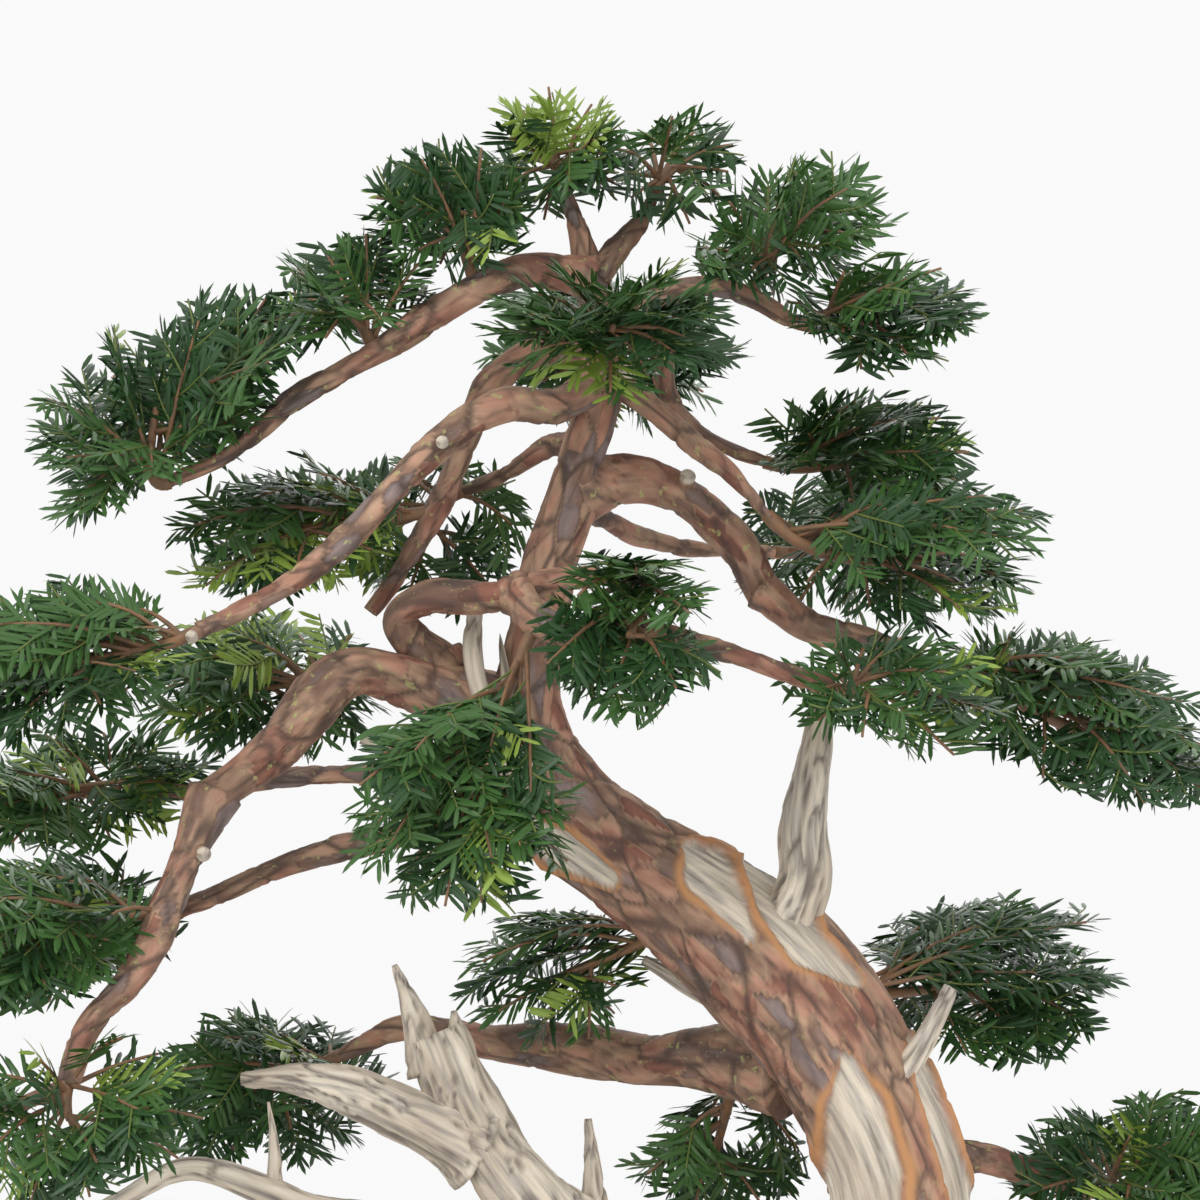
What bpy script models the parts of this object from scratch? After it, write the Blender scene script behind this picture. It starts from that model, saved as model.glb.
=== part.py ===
"""An English yew bonsai in a plain pot, as separate solids.

Metres, +Z up, the tree's front towards -Y. The origin is the centre of the pot's flat underside.
Sizes in the tables below are in millimetres.
"""

import math
import random
from collections import namedtuple

import bmesh
import bpy
import numpy as np
from mathutils import Vector

MM = 0.001
SEAT_GAP = 0.3

# Pot and soil
POT_LENGTH = 480.0
POT_DEPTH = 340.0
POT_HEIGHT = 100.0
POT_WALL = 12.0
POT_FLOOR = 14.0
POT_CORNER = 46.0
POT_FOOT_HEIGHT = 12.0
POT_FOOT_INSET = 9.0
POT_WAIST_INSET = 4.0
POT_LIP_HEIGHT = 14.0
POT_LIP_INSET = 5.0
POT_EDGE = 2.0
DRAIN_RADIUS = 14.0
DRAIN_OFFSET = 120.0
SOIL_LEVEL = 95.0
SOIL_EDGE_LEVEL = 87.0
SOIL_BANK = 12

# Trunk: x, y, z and radius at each bend of its line, from the soil to the leader's tip
TRUNK_BENDS = [
    (46, 0, SOIL_LEVEL, 74),
    (50, 0, 120, 62),
    (60, 2, 160, 53),
    (80, 4, 215, 45),
    (96, 3, 268, 40),
    (100, 0, 315, 38),
    (87, -3, 357, 36),
    (60, -5, 402, 36),
    (36, -4, 430, 37),
    (14, -3, 450, 34),
    (-8, -2, 467, 30.5),
    (-37, 0, 487, 27),
    (-64, 0, 507, 26.5),
    (-80, 0, 530, 25),
    (-86, 0, 560, 18),
    (-84, 0, 585, 15.5),
    (-80, 0, 608, 15.5),
    (-75, 0, 636, 14.5),
    (-65, 0, 664, 14),
    (-58, 0, 690, 12),
    (-50, 0, 718, 11.5),
    (-49, 0, 752, 10.5),
    (-56, 0, 782, 7.5),
    (-61, 0, 802, 5),
    (-70, -1, 824, 3.2),
]
FORK_BENDS = [(-64, 0, 512, 20), (-98, -4, 542, 22), (-119, -7, 566, 19), (-130, -9, 589, 12)]
TRUNK_SIDES = 14
TRUNK_STATIONS = 25
FORK_SIDES = 12
FORK_STATIONS = 6
ROOT_FLARE = 0.30
ROOT_COUNT = 5
ROOT_FADE = 32.0
BARK_WAVE = 0.045

# Limbs: the radius at the base and at the tip, and the bends of the line. Each starts inside its parent.
Limb = namedtuple("Limb", "name parents base tip bends wood", defaults=("bark",))
LIMBS = [
    Limb("deadwood_trunk", ["trunk"], 34, 13,
         [(52, -8, 205), (10, -20, 232), (-42, -26, 272), (-84, -27, 316), (-114, -27, 360), (-132, -25, 400)], "deadwood"),
    Limb("deadwood_upper_arm", ["deadwood_trunk"], 17, 4,
         [(-112, -28, 342), (-140, -36, 358), (-170, -40, 372), (-200, -41, 379), (-227, -41, 379)], "deadwood"),
    Limb("deadwood_lower_arm", ["deadwood_trunk"], 12, 3,
         [(-84, -28, 296), (-146, -40, 306), (-190, -45, 315), (-212, -46, 324), (-240, -47, 334),
          (-260, -48, 334), (-286, -48, 320), (-306, -48, 312)], "deadwood"),
    Limb("jin_upright", ["trunk"], 16, 5.5,
         [(34, -8, 436), (51, -14, 474), (51, -16, 502), (55, -16, 530), (61, -15, 565)], "deadwood"),
    Limb("jin_right", ["trunk"], 8, 3.4, [(84, -14, 358), (107, -22, 390), (124, -24, 423)], "deadwood"),
    Limb("jin_small", ["trunk", "bough_low_left"], 6, 2.8, [(22, 8, 406), (-2, 15, 419), (-28, 20, 434)], "deadwood"),
    Limb("jin_left", ["trunk"], 8, 3, [(-100, -8, 522), (-125, -20, 530), (-150, -24, 539), (-168, -25, 547)], "deadwood"),
    Limb("split_deadwood", ["trunk", "bough_left_twisted"], 8, 3.6,
         [(-86, -22, 522), (-96, -28, 540), (-104, -30, 557), (-110, -28, 572), (-113, -23, 590), (-112, -19, 609)], "deadwood"),
    Limb("bough_apex", ["trunk"], 7, 2.8, [(-52, 0, 776), (-40, 4, 793), (-28, 7, 807), (-22, 7, 822)]),
    Limb("bough_upper_left", ["trunk"], 9.5, 3.2,
         [(-54, -3, 775), (-84, -9, 779), (-112, -14, 770), (-150, -22, 745), (-176, -26, 729), (-206, -29, 711),
          (-231, -32, 688), (-265, -35, 672)]),
    Limb("bough_front_left", ["trunk"], 10, 4.5,
         [(-50, -3, 724), (-72, -32, 711), (-98, -44, 711), (-126, -55, 694), (-151, -67, 670), (-173, -75, 645),
          (-205, -84, 620), (-244, -93, 600)]),
    Limb("bough_back_left", ["trunk"], 9, 4.2,
         [(-50, 5, 744), (-82, 16, 740), (-106, 20, 722), (-118, 22, 694), (-134, 24, 658), (-152, 27, 628), (-166, 28, 609)]),
    Limb("bough_back_upper", ["trunk"], 7, 3, [(-58, 8, 692), (-76, 35, 693), (-98, 51, 679), (-122, 62, 670)]),
    Limb("bough_top_right", ["trunk"], 8, 3.6, [(-50, -3, 748), (-26, -12, 763), (2, -17, 771), (24, -20, 765), (44, -20, 754)]),
    Limb("bough_right_front", ["trunk", "bough_front_left"], 7.5, 3.2,
         [(-48, -6, 728), (-20, -20, 707), (0, -29, 689), (18, -35, 674), (34, -38, 655)]),
    Limb("bough_right_back", ["trunk", "bough_top_right"], 6.5, 3,
         [(-48, 5, 756), (-22, 19, 746), (-15, 27, 718), (6, 32, 696), (36, 35, 684)]),
    Limb("bough_right_arch", ["trunk"], 12, 8.5,
         [(-62, 3, 668), (-40, 7, 675), (-22, 9, 674), (-6, 12, 666), (12, 16, 650), (23, 18, 636), (34, 19, 614)]),
    Limb("bough_right_arch_end", ["bough_right_arch"], 9.5, 4.5, [(31, 19, 620), (54, 14, 602), (82, 11, 596), (108, 8, 586)]),
    Limb("bough_left_twisted", ["trunk"], 14, 10.5,
         [(-106, -12, 560), (-152, -29, 577), (-177, -41, 578), (-197, -52, 556), (-219, -64, 533), (-244, -75, 515)]),
    Limb("bough_left_twisted_end", ["bough_left_twisted"], 10, 5.5,
         [(-238, -72, 520), (-250, -87, 489), (-260, -99, 464), (-273, -110, 436), (-295, -122, 411), (-304, -130, 384)]),
    Limb("bough_loop", ["trunk", "bough_left_twisted"], 10, 5.5,
         [(-126, -10, 580), (-143, -24, 594), (-149, -36, 607), (-134, -43, 616), (-100, -44, 617), (-78, -43, 624), (-50, -43, 626)]),
    Limb("bough_front_right", ["bough_loop"], 9, 4,
         [(-92, -43, 618), (-80, -75, 606), (-62, -84, 597), (-38, -87, 600), (-8, -90, 594), (23, -93, 586), (65, -90, 571)]),
    Limb("bough_left_back", ["trunk"], 7, 3.2, [(-104, 11, 536), (-150, 40, 528), (-201, 57, 525), (-251, 70, 518), (-292, 81, 513)]),
    Limb("bough_lower_left", ["trunk"], 9, 4, [(-60, 8, 506), (-112, 40, 506), (-161, 62, 493), (-209, 78, 480), (-252, 92, 461), (-298, 105, 442)]),
    Limb("bough_low_left", ["trunk"], 19, 3.6,
         [(46, 8, 380), (8, 35, 383), (-28, 57, 380), (-60, 70, 385), (-104, 81, 387), (-149, 92, 394), (-187, 103, 378)]),
    Limb("bough_low_right", ["trunk"], 12, 4.4, [(92, 11, 330), (137, 38, 333), (165, 49, 325), (201, 57, 313)]),
    Limb("bough_back_right", ["trunk", "bough_right_arch"], 6, 3.2,
         [(-66, 8, 660), (-50, 40, 657), (-30, 73, 648), (-4, 105, 642), (43, 140, 640)]),
    Limb("bough_back_left_rear", ["trunk"], 10, 3.8, [(-84, 11, 560), (-112, 62, 572), (-151, 116, 578), (-188, 159, 573)]),
]
THIN_LIMB_SIDES = 6
LIMB_SIDES = 7
THICK_LIMB_SIDES = 9
THIN_LIMB = 8.0
THICK_LIMB = 15.0
LIMB_STATION_SPACING = 21.0
LIMB_WAVE = 0.05
TAPER = 0.85

# Splinters that stand out of the deadwood: the piece they belong to, the root, the tip and the root's radius
SPLINTERS = [
    ("deadwood_trunk", (-134, -22, 380), (-152, -20, 434), 12),
    ("deadwood_trunk", (-120, -22, 378), (-123, -18, 411), 13),
    ("deadwood_trunk", (-52, -8, 262), (-56, -4, 356), 14),
    ("deadwood_lower_arm", (-210, -46, 322), (-213, -44, 368), 5),
    ("split_deadwood", (-97, -22, 552), (-100, -13, 598), 5),
]
SPLINTER_SIDES = 5

# Masses of foliage: the limb that carries each, the place on it where the stem starts (None is the limb's tip),
# the middle of its space, the half sizes of that space, its slope seen from the front in degrees, and how many
# sprays it holds
Mass = namedtuple("Mass", "name limb root middle half slope sprays")
MASSES = [
    Mass("needles_apex", "trunk", None, (-72, -3, 838), (44, 60, 36), 0, 5),
    Mass("needles_apex_right", "bough_apex", None, (-14, 8, 832), (40, 60, 34), 20, 5),
    Mass("needles_upper_inner", "bough_upper_left", (-112, -14, 770), (-124, -12, 808), (48, 69, 38), 0, 5),
    Mass("needles_upper_mid", "bough_upper_left", (-160, -23, 738), (-176, -14, 766), (48, 72, 34), 12, 5),
    Mass("needles_upper_end", "bough_upper_left", None, (-269, -32, 710), (88, 74, 46), 34, 7),
    Mass("needles_left_mid", "bough_back_left", (-134, 24, 658), (-208, 16, 650), (64, 69, 40), 10, 5),
    Mass("needles_left_end", "bough_front_left", None, (-319, -84, 584), (84, 81, 42), 10, 6),
    Mass("needles_left_low", "bough_left_back", None, (-320, 65, 519), (78, 78, 36), 8, 5),
    Mass("needles_lower_left", "bough_lower_left", None, (-332, 89, 445), (74, 78, 40), 12, 5),
    Mass("needles_left_front", "bough_left_twisted_end", (-260, -99, 464), (-331, -102, 454), (70, 72, 42), 12, 5),
    Mass("needles_bottom_left", "bough_left_twisted_end", None, (-302, -139, 368), (68, 72, 46), 8, 6),
    Mass("needles_centre_front", "bough_front_right", (-80, -75, 606), (-119, -122, 513), (64, 60, 54), 0, 5),
    Mass("needles_centre_right", "bough_loop", None, (-36, -122, 598), (48, 56, 46), 0, 5),
    Mass("needles_top_front", "trunk", (-50, 0, 735), (-44, -96, 747), (74, 63, 38), 0, 5),
    Mass("needles_top_right", "bough_top_right", (24, -20, 765), (44, -17, 798), (60, 74, 38), 22, 5),
    Mass("needles_top_right_end", "bough_top_right", None, (90, -20, 756), (54, 78, 32), 0, 5),
    Mass("needles_right_upper", "bough_right_back", None, (88, 32, 690), (68, 78, 34), -8, 5),
    Mass("needles_right_mid", "bough_right_front", None, (110, -12, 636), (76, 81, 42), 0, 5),
    Mass("needles_right_far", "bough_right_arch_end", None, (196, 0, 554), (96, 94, 42), -22, 7),
    Mass("needles_right_near", "bough_front_right", None, (91, -90, 572), (60, 69, 36), -8, 5),
    Mass("needles_right_low", "trunk", (50, 0, 415), (154, 113, 416), (78, 103, 50), 8, 5),
    Mass("needles_low_right", "bough_low_right", None, (232, 59, 326), (80, 87, 40), 0, 5),
    Mass("needles_low_left", "bough_low_left", None, (-224, 108, 360), (70, 81, 48), 8, 5),
    Mass("needles_low_front", "trunk", (4, 0, 458), (-74, 35, 423), (58, 38, 38), 10, 4),
    Mass("needles_low_centre", "bough_low_left", (20, 27, 382), (8, 65, 328), (50, 60, 34), 0, 4),
    Mass("needles_centre_back", "bough_back_upper", None, (-137, 84, 650), (54, 63, 48), 0, 4),
    Mass("needles_back_top", "trunk", (-50, 0, 735), (-46, 151, 744), (82, 83, 44), 0, 5),
    Mass("needles_back_right", "bough_back_right", None, (94, 189, 642), (80, 81, 44), 0, 5),
    Mass("needles_back_left", "bough_back_left_rear", None, (-235, 197, 569), (80, 78, 44), 0, 5),
]
SPRAY_LENGTH = 78.0
SHORTEST_SPRAY = 24.0
SPRAY_TEETH = 3
NEEDLE_REACH = 20.0
NEEDLE_SWEEP = 0.75
SPRAY_RIB = 1.3
SPRAY_THICKNESS = 1.3
STEM_SIDES = 3
STEM_ROOT_RADIUS = 3.4
STEM_TIP_RADIUS = 2.2
FIRST_FORK = 0.4
STEM_SINK = 3.0
WOOD_CLEARANCE = 1.2
SPACE_MARGIN = 0.04
SPRAY_LEAN = 0.8
SPRAY_TRIES = 30
SPRAY_SPACING = 2.5
SPRAY_CROWDING = 16.0
SPRAY_SINK = 0.8

# Looks of the solids: colour, roughness
SHARPEST_CURVE = math.radians(40)
FINISHES = {
    "bark": ((0.36, 0.23, 0.16), 0.75),
    "deadwood": ((0.70, 0.66, 0.60), 0.80),
    "needles": ((0.045, 0.14, 0.05), 0.45),
    "pot": ((0.20, 0.12, 0.085), 0.60),
    "soil": ((0.16, 0.11, 0.07), 0.95),
}


# Lines and tubes
def smooth_line(bends, spacing):
    """Rows of x, y, z (and radius) along a smooth curve through the bends, about evenly spaced."""
    knots = np.array(bends, float)
    knots = np.vstack([2 * knots[0] - knots[1], knots, 2 * knots[-1] - knots[-2]])
    fine = []
    for a, b, c, d in zip(knots, knots[1:], knots[2:], knots[3:]):
        for t in np.linspace(0, 1, 24, endpoint=False):
            fine.append(0.5 * (2 * b + (c - a) * t + (2 * a - 5 * b + 4 * c - d) * t**2 + (3 * b - a - 3 * c + d) * t**3))
    fine = np.array(fine + [knots[-2]])
    run = np.concatenate([[0], np.cumsum(np.linalg.norm(np.diff(fine[:, :3], axis=0), axis=1))])
    count = max(2, round(run[-1] / spacing))
    wanted = np.linspace(0, run[-1], count + 1)
    return np.stack([np.interp(wanted, run, column) for column in fine.T], axis=1)


def limb_rows(limb, spacing=LIMB_STATION_SPACING):
    """Rows of x, y, z and radius along a limb, tapering from its base to its tip."""
    rows = smooth_line(limb.bends, spacing)
    share = np.linspace(1, 0, len(rows)) ** TAPER
    return np.column_stack([rows, limb.tip + (limb.base - limb.tip) * share])


def directions(points):
    """The unit direction of the line at each of its points."""
    along = np.gradient(points, axis=0)
    return along / np.linalg.norm(along, axis=1)[:, None]


def tube(name, rows, sides, outline=None, grow=0.0, level_base=False):
    """A closed tube round the rows. outline(row, turn) scales the radius; grow adds to it and to the far end."""
    points = rows[:, :3]
    along = directions(points)
    if level_base:
        along[0] = (0, 0, 1)
    across = Vector(along[0]).orthogonal().normalized()
    if level_base:
        across = Vector((1, 0, 0))
    shape = bmesh.new()
    rings = []
    for i, (point, heading) in enumerate(zip(points, along)):
        heading = Vector(heading)
        across = (across - heading * across.dot(heading)).normalized()
        other = heading.cross(across)
        centre = Vector(point) + (heading * grow if i == len(rows) - 1 else Vector())
        ring = []
        for k in range(sides):
            turn = 2 * math.pi * k / sides
            reach = rows[i, 3] * (outline(rows[i], turn) if outline else 1.0) + grow
            ring.append(shape.verts.new((centre + (across * math.cos(turn) + other * math.sin(turn)) * reach) * MM))
        rings.append(ring)
    for low, high in zip(rings, rings[1:]):
        for k in range(sides):
            n = (k + 1) % sides
            shape.faces.new((low[k], low[n], high[n]))
            shape.faces.new((low[k], high[n], high[k]))
    shape.faces.new(rings[0][::-1])
    shape.faces.new(rings[-1])
    return as_object(name, shape)


def as_object(name, shape):
    """A new object that holds the shape."""
    mesh = bpy.data.meshes.new(name)
    shape.to_mesh(mesh)
    shape.free()
    made = bpy.data.objects.new(name, mesh)
    bpy.context.scene.collection.objects.link(made)
    return made


# Booleans
def evaluated_mesh(made):
    """The object's mesh with its modifiers applied."""
    bpy.context.view_layer.update()
    graph = bpy.context.evaluated_depsgraph_get()
    return bpy.data.meshes.new_from_object(made.evaluated_get(graph), depsgraph=graph)


def apply_modifiers(made):
    result = evaluated_mesh(made)
    old = made.data
    made.modifiers.clear()
    made.data = result
    result.name = made.name
    bpy.data.meshes.remove(old)


def remove(made):
    mesh = made.data
    bpy.data.objects.remove(made)
    bpy.data.meshes.remove(mesh)


def boolean(made, other, operation):
    """Cuts other from made, or joins it on, and removes other."""
    step = made.modifiers.new(operation.title(), "BOOLEAN")
    step.operation = operation
    step.solver = "EXACT"
    step.object = other
    apply_modifiers(made)
    remove(other)


def join_all(made, others, solver="MANIFOLD"):
    """Joins the others on to made by one union on their collection, and removes them."""
    group = bpy.data.collections.new(made.name + "_pieces")
    bpy.context.scene.collection.children.link(group)
    for other in others:
        bpy.context.scene.collection.objects.unlink(other)
        group.objects.link(other)
    step = made.modifiers.new("Union", "BOOLEAN")
    step.operation = "UNION"
    step.operand_type = "COLLECTION"
    step.solver = solver
    step.collection = group
    apply_modifiers(made)
    for other in others:
        remove(other)
    bpy.data.collections.remove(group)


def keep_largest_body(made):
    """Drops loose scraps and the walls of sealed hollows, so that one closed body is left."""
    shape = bmesh.new()
    shape.from_mesh(made.data)
    todo = set(shape.faces)
    bodies = []
    while todo:
        front = [todo.pop()]
        body = list(front)
        while front:
            face = front.pop()
            for edge in face.edges:
                for near in edge.link_faces:
                    if near in todo:
                        todo.remove(near)
                        front.append(near)
                        body.append(near)
        bodies.append(body)
    largest = max(bodies, key=lambda body: sum(face.calc_area() for face in body))
    bmesh.ops.delete(shape, geom=[f for body in bodies if body is not largest for f in body], context="FACES")
    shape.to_mesh(made.data)
    shape.free()


# Trunk and limbs
def trunk_outline(row, turn):
    """The trunk's muscles all the way up, and the root flare near the soil."""
    height = row[2] - SOIL_LEVEL
    muscle = BARK_WAVE * (math.cos(2 * turn + height / 60) + 0.6 * math.cos(3 * turn - height / 45))
    roots = ROOT_FLARE * math.exp(-height / ROOT_FADE) * math.cos(ROOT_COUNT * turn + 0.6)
    return 1 + muscle + roots


def trunk_solid(name, grow=0.0):
    length = sum(math.dist(a[:3], b[:3]) for a, b in zip(TRUNK_BENDS, TRUNK_BENDS[1:]))
    stem = tube(name, smooth_line(TRUNK_BENDS, length / TRUNK_STATIONS), TRUNK_SIDES, trunk_outline, grow, level_base=True)
    fork = tube("fork", smooth_line(FORK_BENDS, 90 / FORK_STATIONS), FORK_SIDES, None, grow)
    boolean(stem, fork, "UNION")
    return stem


def limb_outline(limb):
    """The gnarl of a limb, which differs from limb to limb."""
    phase = random.Random(limb.name).uniform(0, 2 * math.pi)
    return lambda row, turn: 1 + LIMB_WAVE * (
        math.cos(2 * turn + phase + row[0] / 17) + math.cos(3 * turn + phase + row[2] / 13)
    )


def splinter(piece, root, tip, radius, grow=0.0):
    """A pointed splinter of deadwood."""
    share = np.linspace(0, 1, 4)[:, None]
    rows = np.array(root) * (1 - share) + np.array(tip) * share
    rows = np.column_stack([rows, radius * (1 - 0.88 * share[:, 0])])
    return tube(piece + "_splinter", rows, SPLINTER_SIDES, None, grow)


def limb_solid(limb, grow=0.0):
    sides = THIN_LIMB_SIDES if limb.base < THIN_LIMB else THICK_LIMB_SIDES if limb.base > THICK_LIMB else LIMB_SIDES
    made = tube(limb.name, limb_rows(limb), sides, limb_outline(limb), grow)
    spikes = [splinter(*s, grow=grow) for s in SPLINTERS if s[0] == limb.name]
    if spikes:
        join_all(made, spikes)
    return made


def carrier_solid(name, grow):
    """A copy of the trunk or of a limb, a little larger, to cut what grows from it."""
    if name == "trunk":
        return trunk_solid("cutter", grow)
    limb = next(limb for limb in LIMBS if limb.name == name)
    return limb_solid(limb, grow)


# Space that the wood takes up
def wood_samples():
    """Every limb's name, and points down the middle of it with the radius there."""
    found = {"trunk": np.vstack([smooth_line(TRUNK_BENDS, 4), smooth_line(FORK_BENDS, 4)])}
    for limb in LIMBS:
        found[limb.name] = limb_rows(limb, 3)
    for piece, root, tip, radius in SPLINTERS:
        share = np.linspace(0, 1, 20)[:, None]
        rows = np.array(root) * (1 - share) + np.array(tip) * share
        rows = np.column_stack([rows, radius * (1 - 0.88 * share)])
        found[piece] = np.vstack([found[piece], rows])
    for mass in MASSES:
        found[mass.name] = np.column_stack([stem_line(mass, 12), np.full(12, STEM_ROOT_RADIUS)])
    return found


def clear_of_wood(points, samples, own):
    """Whether all the points are clear of the trunk, of every limb and of every other mass's stem."""
    wood = np.vstack([rows for name, rows in samples.items() if name != own])
    gaps = np.linalg.norm(points[:, None, :] - wood[None, :, :3], axis=2) - wood[None, :, 3] * (1 + 2 * LIMB_WAVE)
    return gaps.min() > WOOD_CLEARANCE


# Foliage
def space_depth(mass, points):
    """0 at the middle of the mass's space and 1 at its surface, for each point."""
    turn = math.radians(mass.slope)
    x, y, z = (points - np.array(mass.middle, float)).T
    x, z = x * math.cos(turn) + z * math.sin(turn), z * math.cos(turn) - x * math.sin(turn)
    return np.sqrt((x / mass.half[0]) ** 2 + (y / mass.half[1]) ** 2 + (z / mass.half[2]) ** 2)


def in_own_space(mass, points):
    """Whether the points lie in the mass's space, and nearer to its middle than to any other's."""
    depth = space_depth(mass, points)
    others = np.min([space_depth(other, points) for other in MASSES if other is not mass], axis=0)
    return depth.max() < 1 and (others - depth).min() > SPACE_MARGIN


def on_space(mass, direction, depth):
    """The point in that direction from the middle of the space, at that depth."""
    turn = math.radians(mass.slope)
    x, y, z = (direction[i] * mass.half[i] * depth for i in range(3))
    return Vector(mass.middle) + Vector((x * math.cos(turn) - z * math.sin(turn), y, z * math.cos(turn) + x * math.sin(turn)))


def stem_line(mass, count):
    """Points along a mass's stem, from inside its limb to the middle of its space."""
    if mass.limb == "trunk":
        rows = smooth_line(TRUNK_BENDS, 4)[:, :3]
    else:
        rows = limb_rows(next(limb for limb in LIMBS if limb.name == mass.limb), 4)[:, :3]
    middle = np.array(mass.middle, float)
    if mass.root is None:
        heading = rows[-1] - rows[-2]
        heading /= np.linalg.norm(heading)
        start = rows[-1] - heading * STEM_SINK
    else:
        start = rows[np.argmin(np.linalg.norm(rows - np.array(mass.root, float), axis=1))]
        heading = (middle - start) / np.linalg.norm(middle - start)
    bend = start + heading * np.linalg.norm(middle - start) * 0.45
    share = np.linspace(0, 1, count)[:, None]
    return start * (1 - share) ** 2 + 2 * bend * share * (1 - share) + middle * share**2


def spread_directions(count, chance):
    """Directions spread evenly round the Y axis, leaning forwards and backwards in turn."""
    start = chance.uniform(0, 1)
    found = []
    for i in range(count):
        turn = 2 * math.pi * (i + start + chance.uniform(-0.2, 0.2)) / count
        lean = (SPRAY_LEAN if i % 2 else -SPRAY_LEAN) + chance.uniform(-0.3, 0.3)
        found.append(Vector((math.cos(turn), lean, math.sin(turn))).normalized())
    return found


def spray_outline(length):
    """The outline of a spray: a bare stalk from the origin along +X, then teeth that stand for its needles."""
    toothed = min(SPRAY_LENGTH, length * 0.92)
    widest = min(NEEDLE_REACH, toothed * 0.42)
    reaches = [widest * math.sin(math.pi * (0.34 + 0.50 * k / (SPRAY_TEETH - 1))) for k in range(SPRAY_TEETH)]
    step = (toothed - reaches[-1] * NEEDLE_SWEEP - 2) / SPRAY_TEETH
    upper = [(length - toothed, SPRAY_RIB)]
    for tooth, reach in enumerate(reaches):
        start = length - toothed + tooth * step
        upper.append((start + reach * NEEDLE_SWEEP, SPRAY_RIB + reach))
        upper.append((start + step, SPRAY_RIB))
    upper.pop()
    return [(0.0, 0.0)] + upper + [(length, 0.0)] + [(x, -y) for x, y in reversed(upper)]


def spray_axes(root, tip, facing):
    """The directions along, across and up from a spray whose flat side faces about that way."""
    along = (tip - root).normalized()
    across = facing.cross(along).normalized()
    return along, across, along.cross(across)


def spray_solid(root, tip, facing):
    along, across, up = spray_axes(root, tip, facing)
    shape = bmesh.new()
    outline = spray_outline((tip - root).length)
    low, high = (
        [shape.verts.new((root + along * x + across * y + up * SPRAY_THICKNESS * half) * MM) for x, y in outline]
        for half in (-0.5, 0.5)
    )
    shape.faces.new(low)
    shape.faces.new(high[::-1])
    for k in range(len(outline)):
        n = (k + 1) % len(outline)
        shape.faces.new((low[n], low[k], high[k], high[n]))
    bmesh.ops.recalc_face_normals(shape, faces=shape.faces)
    return as_object("spray", shape)


def spray_points(root, tip, facing):
    """Points all over the toothed part of a spray, to test what it would touch."""
    along, across, _ = spray_axes(root, tip, facing)
    outline = spray_outline((tip - root).length)
    found = []
    for x, y in outline[1:]:
        steps = 1 + math.ceil(abs(y) / 5)
        for k in range(steps + 1):
            back = abs(y) * NEEDLE_SWEEP * (1 - k / steps)
            found.append(root + along * (x - back) + across * y * k / steps)
    return np.array([tuple(point) for point in found])


def along_stem(stem, share):
    """The point on the stem at a share of its rows."""
    place = share * (len(stem) - 1)
    return Vector([np.interp(place, range(len(stem)), column) for column in stem.T])


def grow_sprays(mass, stem, samples):
    """The root, tip and facing of each spray. A spray that would touch wood or leave the space is skipped."""
    chance = random.Random(mass.name)
    grown = []
    taken = []
    for attempt in range(SPRAY_TRIES):
        for direction in spread_directions(mass.sprays, chance):
            if len(grown) == mass.sprays:
                return grown
            tip = on_space(mass, direction, 0.98 - 0.012 * attempt)
            facing = Vector((chance.uniform(-0.6, 0.6), -chance.uniform(0.3, 1.0), chance.uniform(0.2, 1.0)))
            fork = along_stem(stem, FIRST_FORK + (1 - FIRST_FORK) * (len(grown) + 1) / mass.sprays)
            root = fork - (tip - fork).normalized() * SPRAY_SINK
            if (tip - root).length < SHORTEST_SPRAY:
                continue
            points = spray_points(root, tip, facing)
            outer = points[np.linalg.norm(points - np.array(root), axis=1) > SPRAY_CROWDING]
            crossed = taken and np.linalg.norm(outer[:, None] - np.vstack(taken)[None], axis=2).min() < SPRAY_SPACING
            if not crossed and in_own_space(mass, points) and clear_of_wood(points, samples, mass.name):
                grown.append((root, tip, facing))
                taken.append(outer)
    return grown


def foliage_solid(mass, samples):
    """A mass of foliage: one stem, and the sprays that fork from it."""
    stem = stem_line(mass, 5)
    rows = np.column_stack([stem, np.linspace(STEM_ROOT_RADIUS, STEM_TIP_RADIUS, len(stem))])
    made = tube(mass.name, rows, STEM_SIDES)
    boolean(made, carrier_solid(mass.limb, SEAT_GAP), "DIFFERENCE")
    keep_largest_body(made)
    sprays = [spray_solid(*spray) for spray in grow_sprays(mass, stem, samples)]
    if sprays:
        join_all(made, sprays)
    keep_largest_body(made)
    return made


# Pot and soil
def rounded_rectangle(length, depth, corner):
    """The points of a rectangle with round corners."""
    points = []
    for quarter in range(4):
        turn = quarter * math.pi / 2
        x = (length / 2 - corner) * (1 if quarter in (0, 3) else -1)
        y = (depth / 2 - corner) * (1 if quarter in (0, 1) else -1)
        for k in range(4):
            angle = turn + k * math.pi / 6
            points.append((x + corner * math.cos(angle), y + corner * math.sin(angle)))
    return points


def stacked(name, levels):
    """A closed body through levels of (height, inset) of the pot's outline, the first and the last filled."""
    shape = bmesh.new()
    rings = []
    for height, inset in levels:
        outline = rounded_rectangle(POT_LENGTH - 2 * inset, POT_DEPTH - 2 * inset, POT_CORNER - inset)
        rings.append([shape.verts.new((x * MM, y * MM, height * MM)) for x, y in outline])
    for low, high in zip(rings, rings[1:]):
        for k in range(len(low)):
            n = (k + 1) % len(low)
            shape.faces.new((low[k], low[n], high[n], high[k]))
    shape.faces.new(rings[0][::-1])
    shape.faces.new(rings[-1])
    return as_object(name, shape)


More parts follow.
